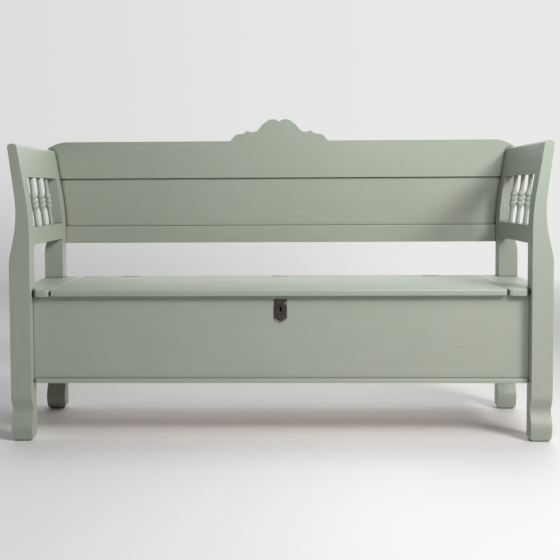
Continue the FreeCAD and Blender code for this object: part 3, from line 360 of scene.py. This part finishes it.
def plate_iron(name):
    """Forged iron whose painted shade and highlights are laid out in zones from the plate's own
    box.
    """
    plate_low, plate_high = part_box("lock_escutcheon")
    material, tree, place = empty_material(name)

    def combine(first, second, operation):
        return add_node(tree, "ShaderNodeMath", {0: first, 1: second},
                        operation=operation).outputs["Value"]

    at = add_node(tree, "ShaderNodeSeparateXYZ", {"Vector": place}).outputs
    pits = add_node(tree, "ShaderNodeTexNoise", {
        "Vector": place, "Scale": 1 / PLATE_PIT, "Detail": 6, "Roughness": 0.65}).outputs["Fac"]
    patches = add_node(tree, "ShaderNodeTexNoise", {
        "Vector": place, "Scale": 1 / PLATE_PATCH, "Detail": 3}).outputs["Fac"]
    unevenness = combine(pits, ZONE_UNEVENNESS, "MULTIPLY")

    def zone(distance, start, end, strength):
        """Fades in between two distances, with an uneven edge."""
        return add_node(tree, "ShaderNodeMapRange", {
            "Value": combine(distance, unevenness, "ADD"), "From Min": start, "From Max": end,
            "To Max": strength}).outputs["Result"]

    from_middle = add_node(tree, "ShaderNodeMath", {
        0: combine(at["X"], (plate_low.x + plate_high.x) / 2, "SUBTRACT")},
        operation="ABSOLUTE").outputs["Value"]
    from_top = combine(plate_high.z, at["Z"], "SUBTRACT")
    over_point = combine(combine(at["Z"], plate_low.z, "SUBTRACT"),
                         combine(from_middle, POINT_SLOPE, "MULTIPLY"), "SUBTRACT")
    from_spot = add_node(tree, "ShaderNodeVectorMath", {
        0: place, 1: (plate_high.x - SPOT_FROM_SIDE, plate_low.y, plate_high.z - SPOT_FROM_TOP)},
        operation="DISTANCE").outputs["Value"]
    rounded = add_node(tree, "ShaderNodeBevel", {"Radius": FILED_ROUND}, samples=8)
    true_surface = add_node(tree, "ShaderNodeNewGeometry").outputs["True Normal"]
    turn = add_node(tree, "ShaderNodeVectorMath", {
        0: rounded.outputs["Normal"], 1: true_surface}, operation="DOT_PRODUCT").outputs["Value"]
    border_from = (plate_high.x - plate_low.x) / 2 - BORDER_WIDTH
    colour = colour_ramp(tree, patches, [(0.32, linear(RUST_DARK)), (0.68, linear(RUST_LIGHT))])
    # The border zones are painted shade; the lower point, the spot and the edge turn are painted
    # highlights.
    for share, tone in (
            (zone(from_middle, border_from, border_from + BORDER_WIDTH / 2, 0.9), BORDER_SHADE_TONE),
            (zone(from_top, BORDER_WIDTH, BORDER_WIDTH / 2, 0.9), BORDER_SHADE_TONE),
            (zone(over_point, 0.0095, 0.0065, 0.85), HIGHLIGHT_TONE),
            (zone(from_spot, 0.008, 0.004, 0.6), HIGHLIGHT_TONE),
            (zone(turn, 0.97, 0.80, 0.55), HIGHLIGHT_TONE)):
        colour = add_node(tree, "ShaderNodeMix", {
            MIX_FACTOR: share, MIX_A: colour, MIX_B: linear(tone)},
            data_type="RGBA").outputs[MIX_RESULT]
    dull = colour_ramp(tree, pits, [(0.3, grey(0.62)), (0.7, grey(0.46))])
    bump = add_node(tree, "ShaderNodeBump", {
        "Height": pits, "Normal": rounded.outputs["Normal"], "Strength": 0.5,
        "Distance": PLATE_RELIEF})
    shader = add_node(tree, "ShaderNodeBsdfPrincipled", {
        "Base Color": colour, "Roughness": dull, "Metallic": 0.3,
        "Normal": bump.outputs["Normal"]})
    add_node(tree, "ShaderNodeOutputMaterial", {"Surface": shader.outputs["BSDF"]})
    return material


old_iron = plate_iron("patinated_forged_iron")
print("lock plate:", old_iron.name)

# %% [markdown]
# ## Softened woodwork
# Sawn boards get their sharp edges taken off with a plane, and several coats of paint round
# them further, by 0.3 to 2.2 mm here. That small round catches the light and is what tells an eye
# that a piece is painted wood. A CAD piece has knife-sharp edges, so each one is copied, its
# loose triangles are welded, flat areas are joined into single faces, and only the outward
# edges that show are rounded. Edges that lie in a joint stay sharp, or a groove would open
# there that the paint closes on the real bench. Weighted normals then keep the flat boards
# flat to the eye, up to the rounded edges.

# %% Soften a copy of a CAD piece
SHARP = math.radians(28)
FLAT = math.radians(0.15)
WELD = 1e-5
ON_PLANE = 2e-4


def lies_in(edge, planes):
    """True where both ends of an edge are on one of the (axis, value) planes."""
    return any(
        all(abs(v.co[axis] - value) < ON_PLANE for v in edge.verts) for axis, value in planes)


def softened(node, material, ease, joints=(), skip=None, share=None, steps=3):
    """A welded copy of a CAD piece with its outward edges eased, standing for that piece.

    Edges in the joint planes, or that skip() names, stay sharp. share() may give an edge only
    part of the ease."""
    shape = bmesh.new()
    shape.from_mesh(parts[node].data)
    bmesh.ops.remove_doubles(shape, verts=shape.verts, dist=WELD)
    bmesh.ops.dissolve_limit(shape, angle_limit=FLAT, verts=shape.verts, edges=shape.edges)
    weight = shape.edges.layers.float.new("bevel_weight_edge")
    eased = 0
    for edge in shape.edges:
        outward = edge.is_manifold and edge.is_convex and edge.calc_face_angle(0) > SHARP
        if outward and not lies_in(edge, joints) and not (skip and skip(edge)):
            edge[weight] = share(edge) if share else 1
            eased += 1
    mesh = bpy.data.meshes.new(node + "_softened")
    shape.to_mesh(mesh)
    shape.free()
    piece = bpy.data.objects.new(node + "_softened", mesh)
    bpy.context.scene.collection.objects.link(piece)
    rounding = piece.modifiers.new("rounding", "BEVEL")
    rounding.limit_method = "WEIGHT"
    rounding.width = ease
    rounding.segments = steps
    rounding.harden_normals = True
    rounding.use_clamp_overlap = True
    mesh.shade_smooth()
    mesh.set_sharp_from_angle(angle=SHARP)
    flat = piece.modifiers.new("flat_boards", "WEIGHTED_NORMAL")
    flat.keep_sharp = True
    finished = bpy.data.meshes.new_from_object(
        piece.evaluated_get(bpy.context.evaluated_depsgraph_get()))
    piece.modifiers.clear()
    piece.data = finished
    finished.materials.clear()
    finished.materials.append(material)
    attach(piece, parts[node]["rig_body"])
    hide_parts(node)
    print("%-26s %4d edges eased, %5d faces" % (node, eased, len(finished.polygons)))
    return piece


# %% [markdown]
# ## The end frames
# Each post is sawn from one plank: straight below, drawn in at a waist, then leaning out to
# the arm. The arm boards are tenoned between the posts and planed flush, so no seam shows on
# the painted inner face. The posts' long edges are eased by about 2 mm.

# %% Posts and arms
POST_EASE = 0.0022
BOARD_EASE = 0.0015
TENON_LENGTH = 0.025
LONGEST_MORTISE = 0.3
front_post_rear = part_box("arm_top_rail_left")[0].y + TENON_LENGTH
rear_post_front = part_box("arm_top_rail_left")[1].y - TENON_LENGTH
arm_joints = [(1, front_post_rear), (1, rear_post_front)]


def is_mortise_edge(edge):
    """Mouths of the mortises and grooves lie inside the posts' flat faces."""
    return (lies_in(edge, arm_joints) and edge.calc_length() < LONGEST_MORTISE
            and all(len(v.link_edges) >= 3 for v in edge.verts))


for side in ("left", "right"):
    for end in ("front", "rear"):
        softened("%s_post_%s" % (end, side), paint_along["Z"], POST_EASE,
                 skip=is_mortise_edge)
    for board in ("arm_top_rail", "arm_lower_rail"):
        softened("%s_%s" % (board, side), paint_along["Y"], BOARD_EASE,
                 joints=arm_joints)

# %% [markdown]
# ## The box, the seat and the back
# These are flat boards along the bench. The lid's front edge is rounder than the box below it,
# because hands and legs rub it every day. The back's crest and lower rail stand 8 mm proud of
# the panel between them, so light catches their edges and a thin shadow lies under the crest.
# The front corners of the lid are well rounded, but its edges along the seams are kept crisp.

# %% Boards along the bench
PANEL_EASE = 0.0008
post_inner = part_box("front_post_right")[0].x
post_planes = [(0, post_inner), (0, -post_inner)]
# The crest and the back panel take the paint with deeper painted shade, the moulding a faint one.
for node, ease, paint in (
        ("box_front_panel", PANEL_EASE, paint_along["X"]),
        ("box_back_panel", PANEL_EASE, paint_along["X"]),
        ("base_moulding", 0.0005, paint_faint_shade),
        ("seat_hinge_rail", 0.0010, paint_along["X"]),
        ("crest_rail", 0.0016, paint_deep_shade["X"]),
        ("back_lower_rail", 0.0012, paint_along["X"]),
        ("back_panel", 0.0006, paint_deep_shade["X"])):
    softened(node, paint, ease, joints=post_planes)

# %% The lid
LID_CORNER, LID_EASE, SEAM_EASE = 0.0045, 0.0015, 0.0003
NOSE_DEPTH = 0.010
lid_low, lid_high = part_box("seat_lid")
lid_ends = [(0, lid_low.x), (0, lid_high.x)]


def lid_share(edge):
    """The part of LID_CORNER that an edge of the lid gets."""
    if not lies_in(edge, lid_ends):
        return LID_EASE / LID_CORNER
    at_front = max(v.co.y for v in edge.verts) < lid_low.y + NOSE_DEPTH
    return 1 if at_front else SEAM_EASE / LID_CORNER


# The lid takes the paint with deeper painted shade in its seams and under its nose.
softened("seat_lid", paint_deep_shade["X"], LID_CORNER,
         share=lid_share, steps=4)

# %% The seat's ends and the rest of the box
BATTEN_EASE, FLOOR_EASE = 0.0020, 0.0010
for side in ("left", "right"):
    # The seat's end boards take the paint with deeper painted shade in their seams.
    softened("seat_end_board_" + side, paint_deep_shade["Y"], SEAM_EASE)
    softened("box_end_panel_" + side, paint_along["Y"], PANEL_EASE,
             joints=arm_joints)
    softened("lid_batten_" + side, bare_along["Y"], BATTEN_EASE)
for name in ("left", "middle", "right"):
    softened("floor_bearer_" + name, bare_along["Y"], FLOOR_EASE)
for name in ("front", "middle", "rear"):
    softened("floor_board_" + name, bare_along["X"], FLOOR_EASE)

# %% [markdown]
# ## Metalwork
# The lock plate is the only metal in plain sight, so its edges are eased like the wood's. The
# hinges were painted over with the seat. The lock inside the box keeps its CAD shapes: they
# are small machined pieces whose sharp edges are real, and only need their metal.

# %% Lock plate and hardware
FILED_EASE = 0.0004
softened("lock_escutcheon", old_iron, FILED_EASE, steps=2)
for node, piece in parts.items():
    if node.startswith(("hinge_", "lock_", "keeper_", "escutcheon_pins")):
        finish = dull_steel
        # The pins get the near-black painted shade.
        if node in ("lock_key_pin", "escutcheon_pins"):
            finish = pin_shade_black
        # The hinges are painted over with the seat, with only faint painted shade.
        if node.startswith(("hinge_rail_leaf", "hinge_lid_leaf", "hinge_pin")):
            finish = paint_faint_shade
        piece.data.materials.clear()
        piece.data.materials.append(finish)
        print("%-24s %s" % (node, finish.name))

# %% [markdown]
# ## Turned spindles
# A spindle is turned on a lathe, so its shape is one rule: a radius for every height. In
# Geometry Nodes that is a straight curve whose radius is read from a drawn profile and which
# is then skinned with a circle. Six points carry the tree's result, three in each arm, and
# each is tilted outwards with its arm.

# %% Spindles by rule
SPINDLE_PROFILE = (
    # height over the middle and radius, in millimetres
    (0, 11.4), (4, 11.0), (6.6, 9.6), (8.3, 8.7), (9.8, 9.7), (11.5, 11.2), (14.5, 12.0),
    (18, 12.0), (22, 10.8), (27, 8.9), (33, 7.3), (40, 6.6), (50, 6.5), (62, 6.8),
    (74, 7.2), (83.3, 7.4),
)
PROFILE_TOP = 0.020  # the radius that stands for 1 on the drawn curve
RINGS, SIDES = 121, 32


def spindle_tree(spindle_length):
    tree = bpy.data.node_groups.new("turned_spindles", "GeometryNodeTree")
    tree.interface.new_socket("Geometry", in_out="INPUT", socket_type="NodeSocketGeometry")
    length = tree.interface.new_socket("Length", in_out="INPUT", socket_type="NodeSocketFloat")
    sides = tree.interface.new_socket("Sides", in_out="INPUT", socket_type="NodeSocketInt")
    paint = tree.interface.new_socket("Paint", in_out="INPUT", socket_type="NodeSocketMaterial")
    tree.interface.new_socket("Geometry", in_out="OUTPUT", socket_type="NodeSocketGeometry")
    given = add_node(tree, "NodeGroupInput").outputs
    half = add_node(tree, "ShaderNodeMath", {0: given["Length"], 1: 0.5}, operation="MULTIPLY")
    top = add_node(tree, "ShaderNodeCombineXYZ", {"Z": half.outputs["Value"]})
    down = add_node(tree, "ShaderNodeMath", {0: given["Length"], 1: -0.5}, operation="MULTIPLY")
    bottom = add_node(tree, "ShaderNodeCombineXYZ", {"Z": down.outputs["Value"]})
    axis = add_node(tree, "GeometryNodeCurvePrimitiveLine", {
        "Start": bottom.outputs["Vector"], "End": top.outputs["Vector"]})
    rings = add_node(tree, "GeometryNodeResampleCurve", {
        "Curve": axis.outputs["Curve"], "Count": RINGS})
    along = add_node(tree, "GeometryNodeSplineParameter")
    profile = add_node(tree, "ShaderNodeFloatCurve", {"Value": along.outputs["Factor"]})
    curve = profile.mapping.curves[0]
    points = sorted({
        (0.5 + end * height / 1000 / spindle_length, radius / 1000 / PROFILE_TOP)
        for height, radius in SPINDLE_PROFILE for end in (1, -1)})
    while len(curve.points) < len(points):
        curve.points.new(0.5, 0.5)
    for point, place in zip(curve.points, points):
        point.location = place
    profile.mapping.update()
    radius = add_node(tree, "ShaderNodeMath", {
        0: profile.outputs["Value"], 1: PROFILE_TOP}, operation="MULTIPLY")
    circle = add_node(tree, "GeometryNodeCurvePrimitiveCircle", {
        "Resolution": given["Sides"], "Radius": 1.0})
    skin = add_node(tree, "GeometryNodeCurveToMesh", {
        "Curve": rings.outputs["Curve"], "Profile Curve": circle.outputs["Curve"],
        "Scale": radius.outputs["Value"], "Fill Caps": True})
    smooth = add_node(tree, "GeometryNodeSetShadeSmooth", {"Geometry": skin.outputs["Mesh"]})
    lean = add_node(tree, "GeometryNodeInputNamedAttribute", {"Name": "lean"},
                    data_type="FLOAT_VECTOR")
    copies = add_node(tree, "GeometryNodeInstanceOnPoints", {
        "Points": given["Geometry"], "Instance": smooth.outputs["Geometry"],
        "Rotation": lean.outputs["Attribute"]})
    real = add_node(tree, "GeometryNodeRealizeInstances", {
        "Geometry": copies.outputs["Instances"]})
    painted = add_node(tree, "GeometryNodeSetMaterial", {
        "Geometry": real.outputs["Geometry"], "Material": given["Paint"]})
    add_node(tree, "NodeGroupOutput", {"Geometry": painted.outputs["Geometry"]})
    return tree, {"length": length.identifier, "sides": sides.identifier,
                  "paint": paint.identifier}


# %% Make the six spindles
def points_object(name, places, attribute=None, values=()):
    """A mesh of loose points, with one vector attribute if wanted."""
    mesh = bpy.data.meshes.new(name)
    mesh.from_pydata(places, [], [])
    if attribute:
        layer = mesh.attributes.new(attribute, "FLOAT_VECTOR", "POINT")
        layer.data.foreach_set("vector", [v for value in values for v in value])
    made = bpy.data.objects.new(name, mesh)
    bpy.context.scene.collection.objects.link(made)
    return made


def grown(carrier, tree, inputs):
    """Runs a Geometry Nodes tree on a carrier and keeps only the plain mesh it makes."""
    growth = carrier.modifiers.new("growth", "NODES")
    growth.node_group = tree
    for identifier, value in inputs.items():
        growth[identifier] = value
    finished = bpy.data.meshes.new_from_object(
        carrier.evaluated_get(bpy.context.evaluated_depsgraph_get()))
    carrier.modifiers.clear()
    carrier.data = finished
    print("%-26s %5d faces grown" % (carrier.name, len(finished.polygons)))
    return carrier


spindle_nodes = sorted(node for node in parts if node.startswith("arm_spindle_"))
window_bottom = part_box("arm_lower_rail_left")[1].z
middles = [(low + high) / 2 for low, high in (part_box(node) for node in spindle_nodes)]
SPINDLE_LEAN = math.radians(6.9)
leans = [(0, SPINDLE_LEAN * (1 if m.x > 0 else -1), 0) for m in middles]
spindle_length = (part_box("arm_top_rail_left")[0].z - window_bottom) / math.cos(SPINDLE_LEAN)
tree, socket = spindle_tree(spindle_length)
spindles = points_object("arm_spindles_turned", [tuple(m) for m in middles], "lean", leans)
grown(spindles, tree, {
    socket["length"]: spindle_length, socket["sides"]: SIDES, socket["paint"]: paint_along["Z"]})
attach(spindles, "frame")
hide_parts(*spindle_nodes)

# %% [markdown]
# ## Slotted screws
# Old screws have a straight slot, and no two slots point the same way. The CAD model gives
# every screw as a plain countersunk shape; here one screw is built by rule, with the slot cut
# out of its head, and set on a point for each of them with a random turn round its own axis.
# They are the screws that can be seen with the lid open or from behind. Those in the hinge
# leaves keep their plain CAD shape.

# %% Screws by rule
# The slot's length and width as shares of the head's radius, its depth as a share of the
# head's height.
SLOT_LENGTH, SLOT_WIDTH, SLOT_DEPTH = 2.4, 0.24, 0.55
# The shank starts at this share of the screw's length, inside the wood, and is a hair thinner
# than the narrow end of the head.
SHANK_START, SHANK_THIN = 0.1, 0.98


def screw_tree():
    tree = bpy.data.node_groups.new("slotted_screws", "GeometryNodeTree")
    tree.interface.new_socket("Geometry", in_out="INPUT", socket_type="NodeSocketGeometry")
    sockets = {}
    for name, kind in (("Head", "Float"), ("Shank", "Float"), ("Length", "Float"),
                       ("Seed", "Int"), ("Metal", "Material")):
        made = tree.interface.new_socket(name, in_out="INPUT", socket_type="NodeSocket" + kind)
        sockets[name] = made.identifier
    tree.interface.new_socket("Geometry", in_out="OUTPUT", socket_type="NodeSocketGeometry")
    given = add_node(tree, "NodeGroupInput").outputs

    def times(socket, factor):
        return add_node(tree, "ShaderNodeMath", {0: socket, 1: factor},
                        operation="MULTIPLY").outputs["Value"]

    depth = add_node(tree, "ShaderNodeMath", {
        0: given["Head"], 1: given["Shank"]}, operation="SUBTRACT").outputs["Value"]
    head = add_node(tree, "GeometryNodeMeshCone", {
        "Vertices": 32, "Radius Top": given["Shank"], "Radius Bottom": given["Head"],
        "Depth": depth})
    shank = add_node(tree, "GeometryNodeMeshCylinder", {
        "Vertices": 24, "Radius": times(given["Shank"], SHANK_THIN),
        "Depth": times(given["Length"], 1 - SHANK_START)})
    middle = add_node(tree, "ShaderNodeCombineXYZ", {
        "Z": times(given["Length"], (1 + SHANK_START) / 2)})
    shank = add_node(tree, "GeometryNodeTransform", {
        "Geometry": shank.outputs["Mesh"], "Translation": middle.outputs["Vector"]})
    slot_size = add_node(tree, "ShaderNodeCombineXYZ", {
        "X": times(given["Head"], SLOT_LENGTH), "Y": times(given["Head"], SLOT_WIDTH),
        "Z": times(depth, 2 * SLOT_DEPTH)})
    slot = add_node(tree, "GeometryNodeMeshCube", {"Size": slot_size.outputs["Vector"]})
    cut = add_node(tree, "GeometryNodeMeshBoolean", {
        "Mesh 1": head.outputs["Mesh"], "Mesh 2": slot.outputs["Mesh"]}, operation="DIFFERENCE")
    whole = add_node(tree, "GeometryNodeJoinGeometry")
    tree.links.new(cut.outputs["Mesh"], whole.inputs["Geometry"])
    tree.links.new(shank.outputs["Geometry"], whole.inputs["Geometry"])
    facing = add_node(tree, "GeometryNodeInputNamedAttribute", {"Name": "facing"},
                      data_type="FLOAT_VECTOR")
    copies = add_node(tree, "GeometryNodeInstanceOnPoints", {
        "Points": given["Geometry"], "Instance": whole.outputs["Geometry"],
        "Rotation": facing.outputs["Attribute"]})
    turn = add_node(tree, "FunctionNodeRandomValue", {
        "Min": 0.0, "Max": math.pi, "Seed": given["Seed"]}, data_type="FLOAT")
    spin = add_node(tree, "ShaderNodeCombineXYZ", {"Z": turn.outputs[1]})
    turned = add_node(tree, "GeometryNodeRotateInstances", {
        "Instances": copies.outputs["Instances"], "Rotation": spin.outputs["Vector"]})
    real = add_node(tree, "GeometryNodeRealizeInstances", {
        "Geometry": turned.outputs["Instances"]})
    dressed = add_node(tree, "GeometryNodeSetMaterial", {
        "Geometry": real.outputs["Geometry"], "Material": given["Metal"]})
    add_node(tree, "NodeGroupOutput", {"Geometry": dressed.outputs["Geometry"]})
    return tree, sockets


# %% Make the screws
# For each way a screw can point: its axis, which end the head is on, and the turn from +Z.
WAYS = {"-y": (1, "high", (math.pi / 2, 0, 0)), "+z": (2, "low", (0, 0, 0))}
SCREWS = {
    # node: the way its screws point, head radius and shank radius in metres
    "back_screws": ("-y", 0.0044, 0.0022),
    "lid_batten_screws": ("+z", 0.0044, 0.0022),
    "lock_screws": ("-y", 0.0031, 0.0016),
    "keeper_screws": ("+z", 0.0031, 0.0016),
}


def loose_boxes(node):
    """The corners of the box round each separate solid of a CAD piece."""
    shape = bmesh.new()
    shape.from_mesh(parts[node].data)
    bmesh.ops.remove_doubles(shape, verts=shape.verts, dist=WELD)
    left, boxes = set(shape.verts), []
    while left:
        solid, reached = set(), [left.pop()]
        while reached:
            vertex = reached.pop()
            solid.add(vertex)
            for other in (edge.other_vert(vertex) for edge in vertex.link_edges):
                if other in left:
                    left.discard(other)
                    reached.append(other)
        spans = [[v.co[axis] for v in solid] for axis in range(3)]
        boxes.append(([min(s) for s in spans], [max(s) for s in spans]))
    shape.free()
    return sorted(boxes)


tree, socket = screw_tree()
for seed, (node, (way, head, shank)) in enumerate(SCREWS.items(), start=1):
    axis, head_end, turn = WAYS[way]
    boxes = loose_boxes(node)
    length = boxes[0][1][axis] - boxes[0][0][axis]
    heads = []
    for low, high in boxes:
        middle = [(a + b) / 2 for a, b in zip(low, high)]
        middle[axis] = low[axis] if head_end == "low" else high[axis]
        heads.append(middle)
    made = points_object(node + "_slotted", heads, "facing", [turn] * len(heads))
    grown(made, tree, {
        socket["Head"]: head, socket["Shank"]: shank, socket["Length"]: length,
        socket["Seed"]: seed, socket["Metal"]: dull_steel})
    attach(made, parts[node]["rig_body"])
    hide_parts(node)

# %% [markdown]
# ## Floor, backdrop and light
# The bench stands in a pale studio. The floor is one large satin sheet that fades into the
# pale backdrop of the world before its edge can show, so it works from every side. It is
# painted a little greyer towards the window, a painted shade that keeps the window's light from
# making it too bright. The backdrop is a little darker low on the left, where the bench keeps
# the window light off it.

# %% Floor
# Tones from left to right, each at its X in metres; the greyer right end is painted shade.
FLOOR_TONES = [(-1.0, "#F5F4F4"), (0.3, "#F0EFEF"), (0.8, "#E5E4E4"), (1.5, "#CDCCCC")]
FLOOR_REACH = 2.0
FLOOR_SIZE = 14.0
FADE_START, FADE_END = 2.6, 6.0

floor_mesh = bpy.data.meshes.new("studio_floor")
half = FLOOR_SIZE / 2
floor_mesh.from_pydata(
    [(-half, -half, 0), (half, -half, 0), (half, half, 0), (-half, half, 0)], [],
    [(0, 1, 2, 3)])
floor = bpy.data.objects.new("studio_floor", floor_mesh)
bpy.context.scene.collection.objects.link(floor)
floor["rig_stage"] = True
floor_paint, tree, place = empty_material("satin_floor_paint")
reach = add_node(tree, "ShaderNodeVectorMath", {0: place}, operation="LENGTH")
fade = add_node(tree, "ShaderNodeMapRange", {
    "Value": reach.outputs["Value"], "From Min": FADE_START, "From Max": FADE_END})
sideways = add_node(tree, "ShaderNodeMapRange", {
    "Value": add_node(tree, "ShaderNodeSeparateXYZ", {"Vector": place}).outputs["X"],
    "From Min": -FLOOR_REACH, "From Max": FLOOR_REACH})
# Painted shade: the floor greys towards the window, where the lamps would light it too brightly.
tone = colour_ramp(tree, sideways.outputs["Result"], [
    ((x + FLOOR_REACH) / (2 * FLOOR_REACH), linear(shade)) for x, shade in FLOOR_TONES])
satin = add_node(tree, "ShaderNodeBsdfPrincipled", {
    "Base Color": tone, "Roughness": 0.62, "IOR": 1.4})
clear = add_node(tree, "ShaderNodeBsdfTransparent")
blend = add_node(tree, "ShaderNodeMixShader", {
    0: fade.outputs["Result"], 1: satin.outputs["BSDF"], 2: clear.outputs["BSDF"]})
add_node(tree, "ShaderNodeOutputMaterial", {"Surface": blend.outputs["Shader"]})
floor_mesh.materials.append(floor_paint)
print("floor:", floor_paint.name)

# %% [markdown]
# The pale backdrop does two things. Seen directly or in a sheen it has its own colour, and on
# everything else it works as a soft light that comes from behind the bench. A sheen that looks
# the other way, into the unlit room in front, finds it dimmer, so paint in shade stays green.

# %% World
# Directions are unit vectors, so X, Y and Z below run from -1 to 1.
BACK_LIGHT = 1.10
BACKDROP_LEFT = "#DCDCDC"
BACKDROP_RIGHT = "#E9E9E8"
LOW_LEFT_SHADE = 0.60
DAYLIGHT = "#FAFBFD"
ROOM_IN_FRONT = 0.35

bpy.context.scene.view_settings.view_transform = "Standard"
world = bpy.data.worlds.new("pale_studio")
bpy.context.scene.world = world
world.use_nodes = True
tree = world.node_tree
tree.nodes.clear()
direction = add_node(tree, "ShaderNodeTexCoord").outputs["Generated"]
toward = add_node(tree, "ShaderNodeSeparateXYZ", {"Vector": direction}).outputs
across = add_node(tree, "ShaderNodeMapRange", {
    "Value": toward["X"], "From Min": -0.30, "From Max": 0.12})
pale = colour_ramp(tree, across.outputs["Result"], [
    (0.0, linear(BACKDROP_LEFT)), (1.0, linear(BACKDROP_RIGHT))])
low = add_node(tree, "ShaderNodeMapRange", {
    "Value": toward["Z"], "From Min": 0.06, "From Max": -0.14}, interpolation_type="SMOOTHSTEP")
left = add_node(tree, "ShaderNodeMapRange", {
    "Value": toward["X"], "From Min": 0.14, "From Max": -0.28})
low_left = add_node(tree, "ShaderNodeMath", {
    0: low.outputs["Result"], 1: left.outputs["Result"]}, operation="MULTIPLY")
seen = add_node(tree, "ShaderNodeMix", {
    MIX_FACTOR: low_left.outputs["Value"], MIX_A: pale,
    MIX_B: [v * LOW_LEFT_SHADE for v in linear(BACKDROP_LEFT)[:3]] + [1]}, data_type="RGBA")
rays = add_node(tree, "ShaderNodeLightPath").outputs
seen_or_shiny = add_node(tree, "ShaderNodeMath", {
    0: rays["Is Camera Ray"], 1: rays["Is Glossy Ray"]}, operation="MAXIMUM")
direct = add_node(tree, "ShaderNodeMath", {
    0: seen_or_shiny.outputs["Value"], 1: rays["Is Transmission Ray"]}, operation="MAXIMUM")
room = add_node(tree, "ShaderNodeMapRange", {
    "Value": toward["Y"], "From Min": -0.5, "From Max": 0.1, "To Min": ROOM_IN_FRONT})
shown = add_node(tree, "ShaderNodeMath", {
    0: rays["Is Camera Ray"], 1: room.outputs["Result"]}, operation="MAXIMUM")
backdrop = add_node(tree, "ShaderNodeBackground", {
    "Color": seen.outputs[MIX_RESULT], "Strength": shown.outputs["Value"]})
behind = add_node(tree, "ShaderNodeMath", {0: toward["Y"], 1: 0.0}, operation="MAXIMUM")
strength = add_node(tree, "ShaderNodeMath", {
    0: behind.outputs["Value"], 1: BACK_LIGHT}, operation="MULTIPLY")
filling = add_node(tree, "ShaderNodeBackground", {
    "Color": linear(DAYLIGHT), "Strength": strength.outputs["Value"]})
both = add_node(tree, "ShaderNodeMixShader", {
    0: direct.outputs["Value"], 1: filling.outputs["Background"],
    2: backdrop.outputs["Background"]})
add_node(tree, "ShaderNodeOutputWorld", {"Surface": both.outputs["Shader"]})
print("backdrop from", BACKDROP_LEFT, "to", BACKDROP_RIGHT)

# %% [markdown]
# Four soft lamps do the rest. A window high on the right in front shapes the arms and throws
# the shadow to the left. A small reflector near the right half of the back lifts it. Two
# broad lamps behind the bench light the seat and the floor round the legs.

# %% Lamps
def soft_lamp(name, place, aim, size, watts):
    lamp = bpy.data.lights.new(name, "AREA")
    lamp.shape = "RECTANGLE"
    lamp.size, lamp.size_y = size
    lamp.energy = watts
    made = bpy.data.objects.new(name, lamp)
    bpy.context.scene.collection.objects.link(made)
    made.location = place
    made.rotation_euler = (Vector(aim) - Vector(place)).to_track_quat("-Z", "Y").to_euler()
    made.visible_camera = False
    print("%-18s %4d W" % (name, watts))
    return made


soft_lamp("window_right", (2.8, -3.0, 3.0), (0.1, 0, 0.5), (1.2, 1.2), 126)
soft_lamp("near_reflector", (0.8, -1.1, 1.8), (0.1, 0.1, 0.6), (1.2, 1.2), 17)
soft_lamp("light_over_seat", (1.4, 0.75, 3.0), (0.3, 0.3, 0.3), (1.6, 0.9), 21)
soft_lamp("light_from_behind", (0.5, 4.0, 2.4), (0, 0, 0.3), (4.0, 2.0), 34)

# %% [markdown]
# ## Finish
# The boxes of the CAD model and of the visual model are both printed, so they can be compared
# after each render. The visual model has to stay inside the CAD model's box.

# %% Print the sizes and finish
boxes = [[round(v, 5) for c in b for v in c] for b in (cad_bounds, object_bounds())]
print("boxes", boxes)
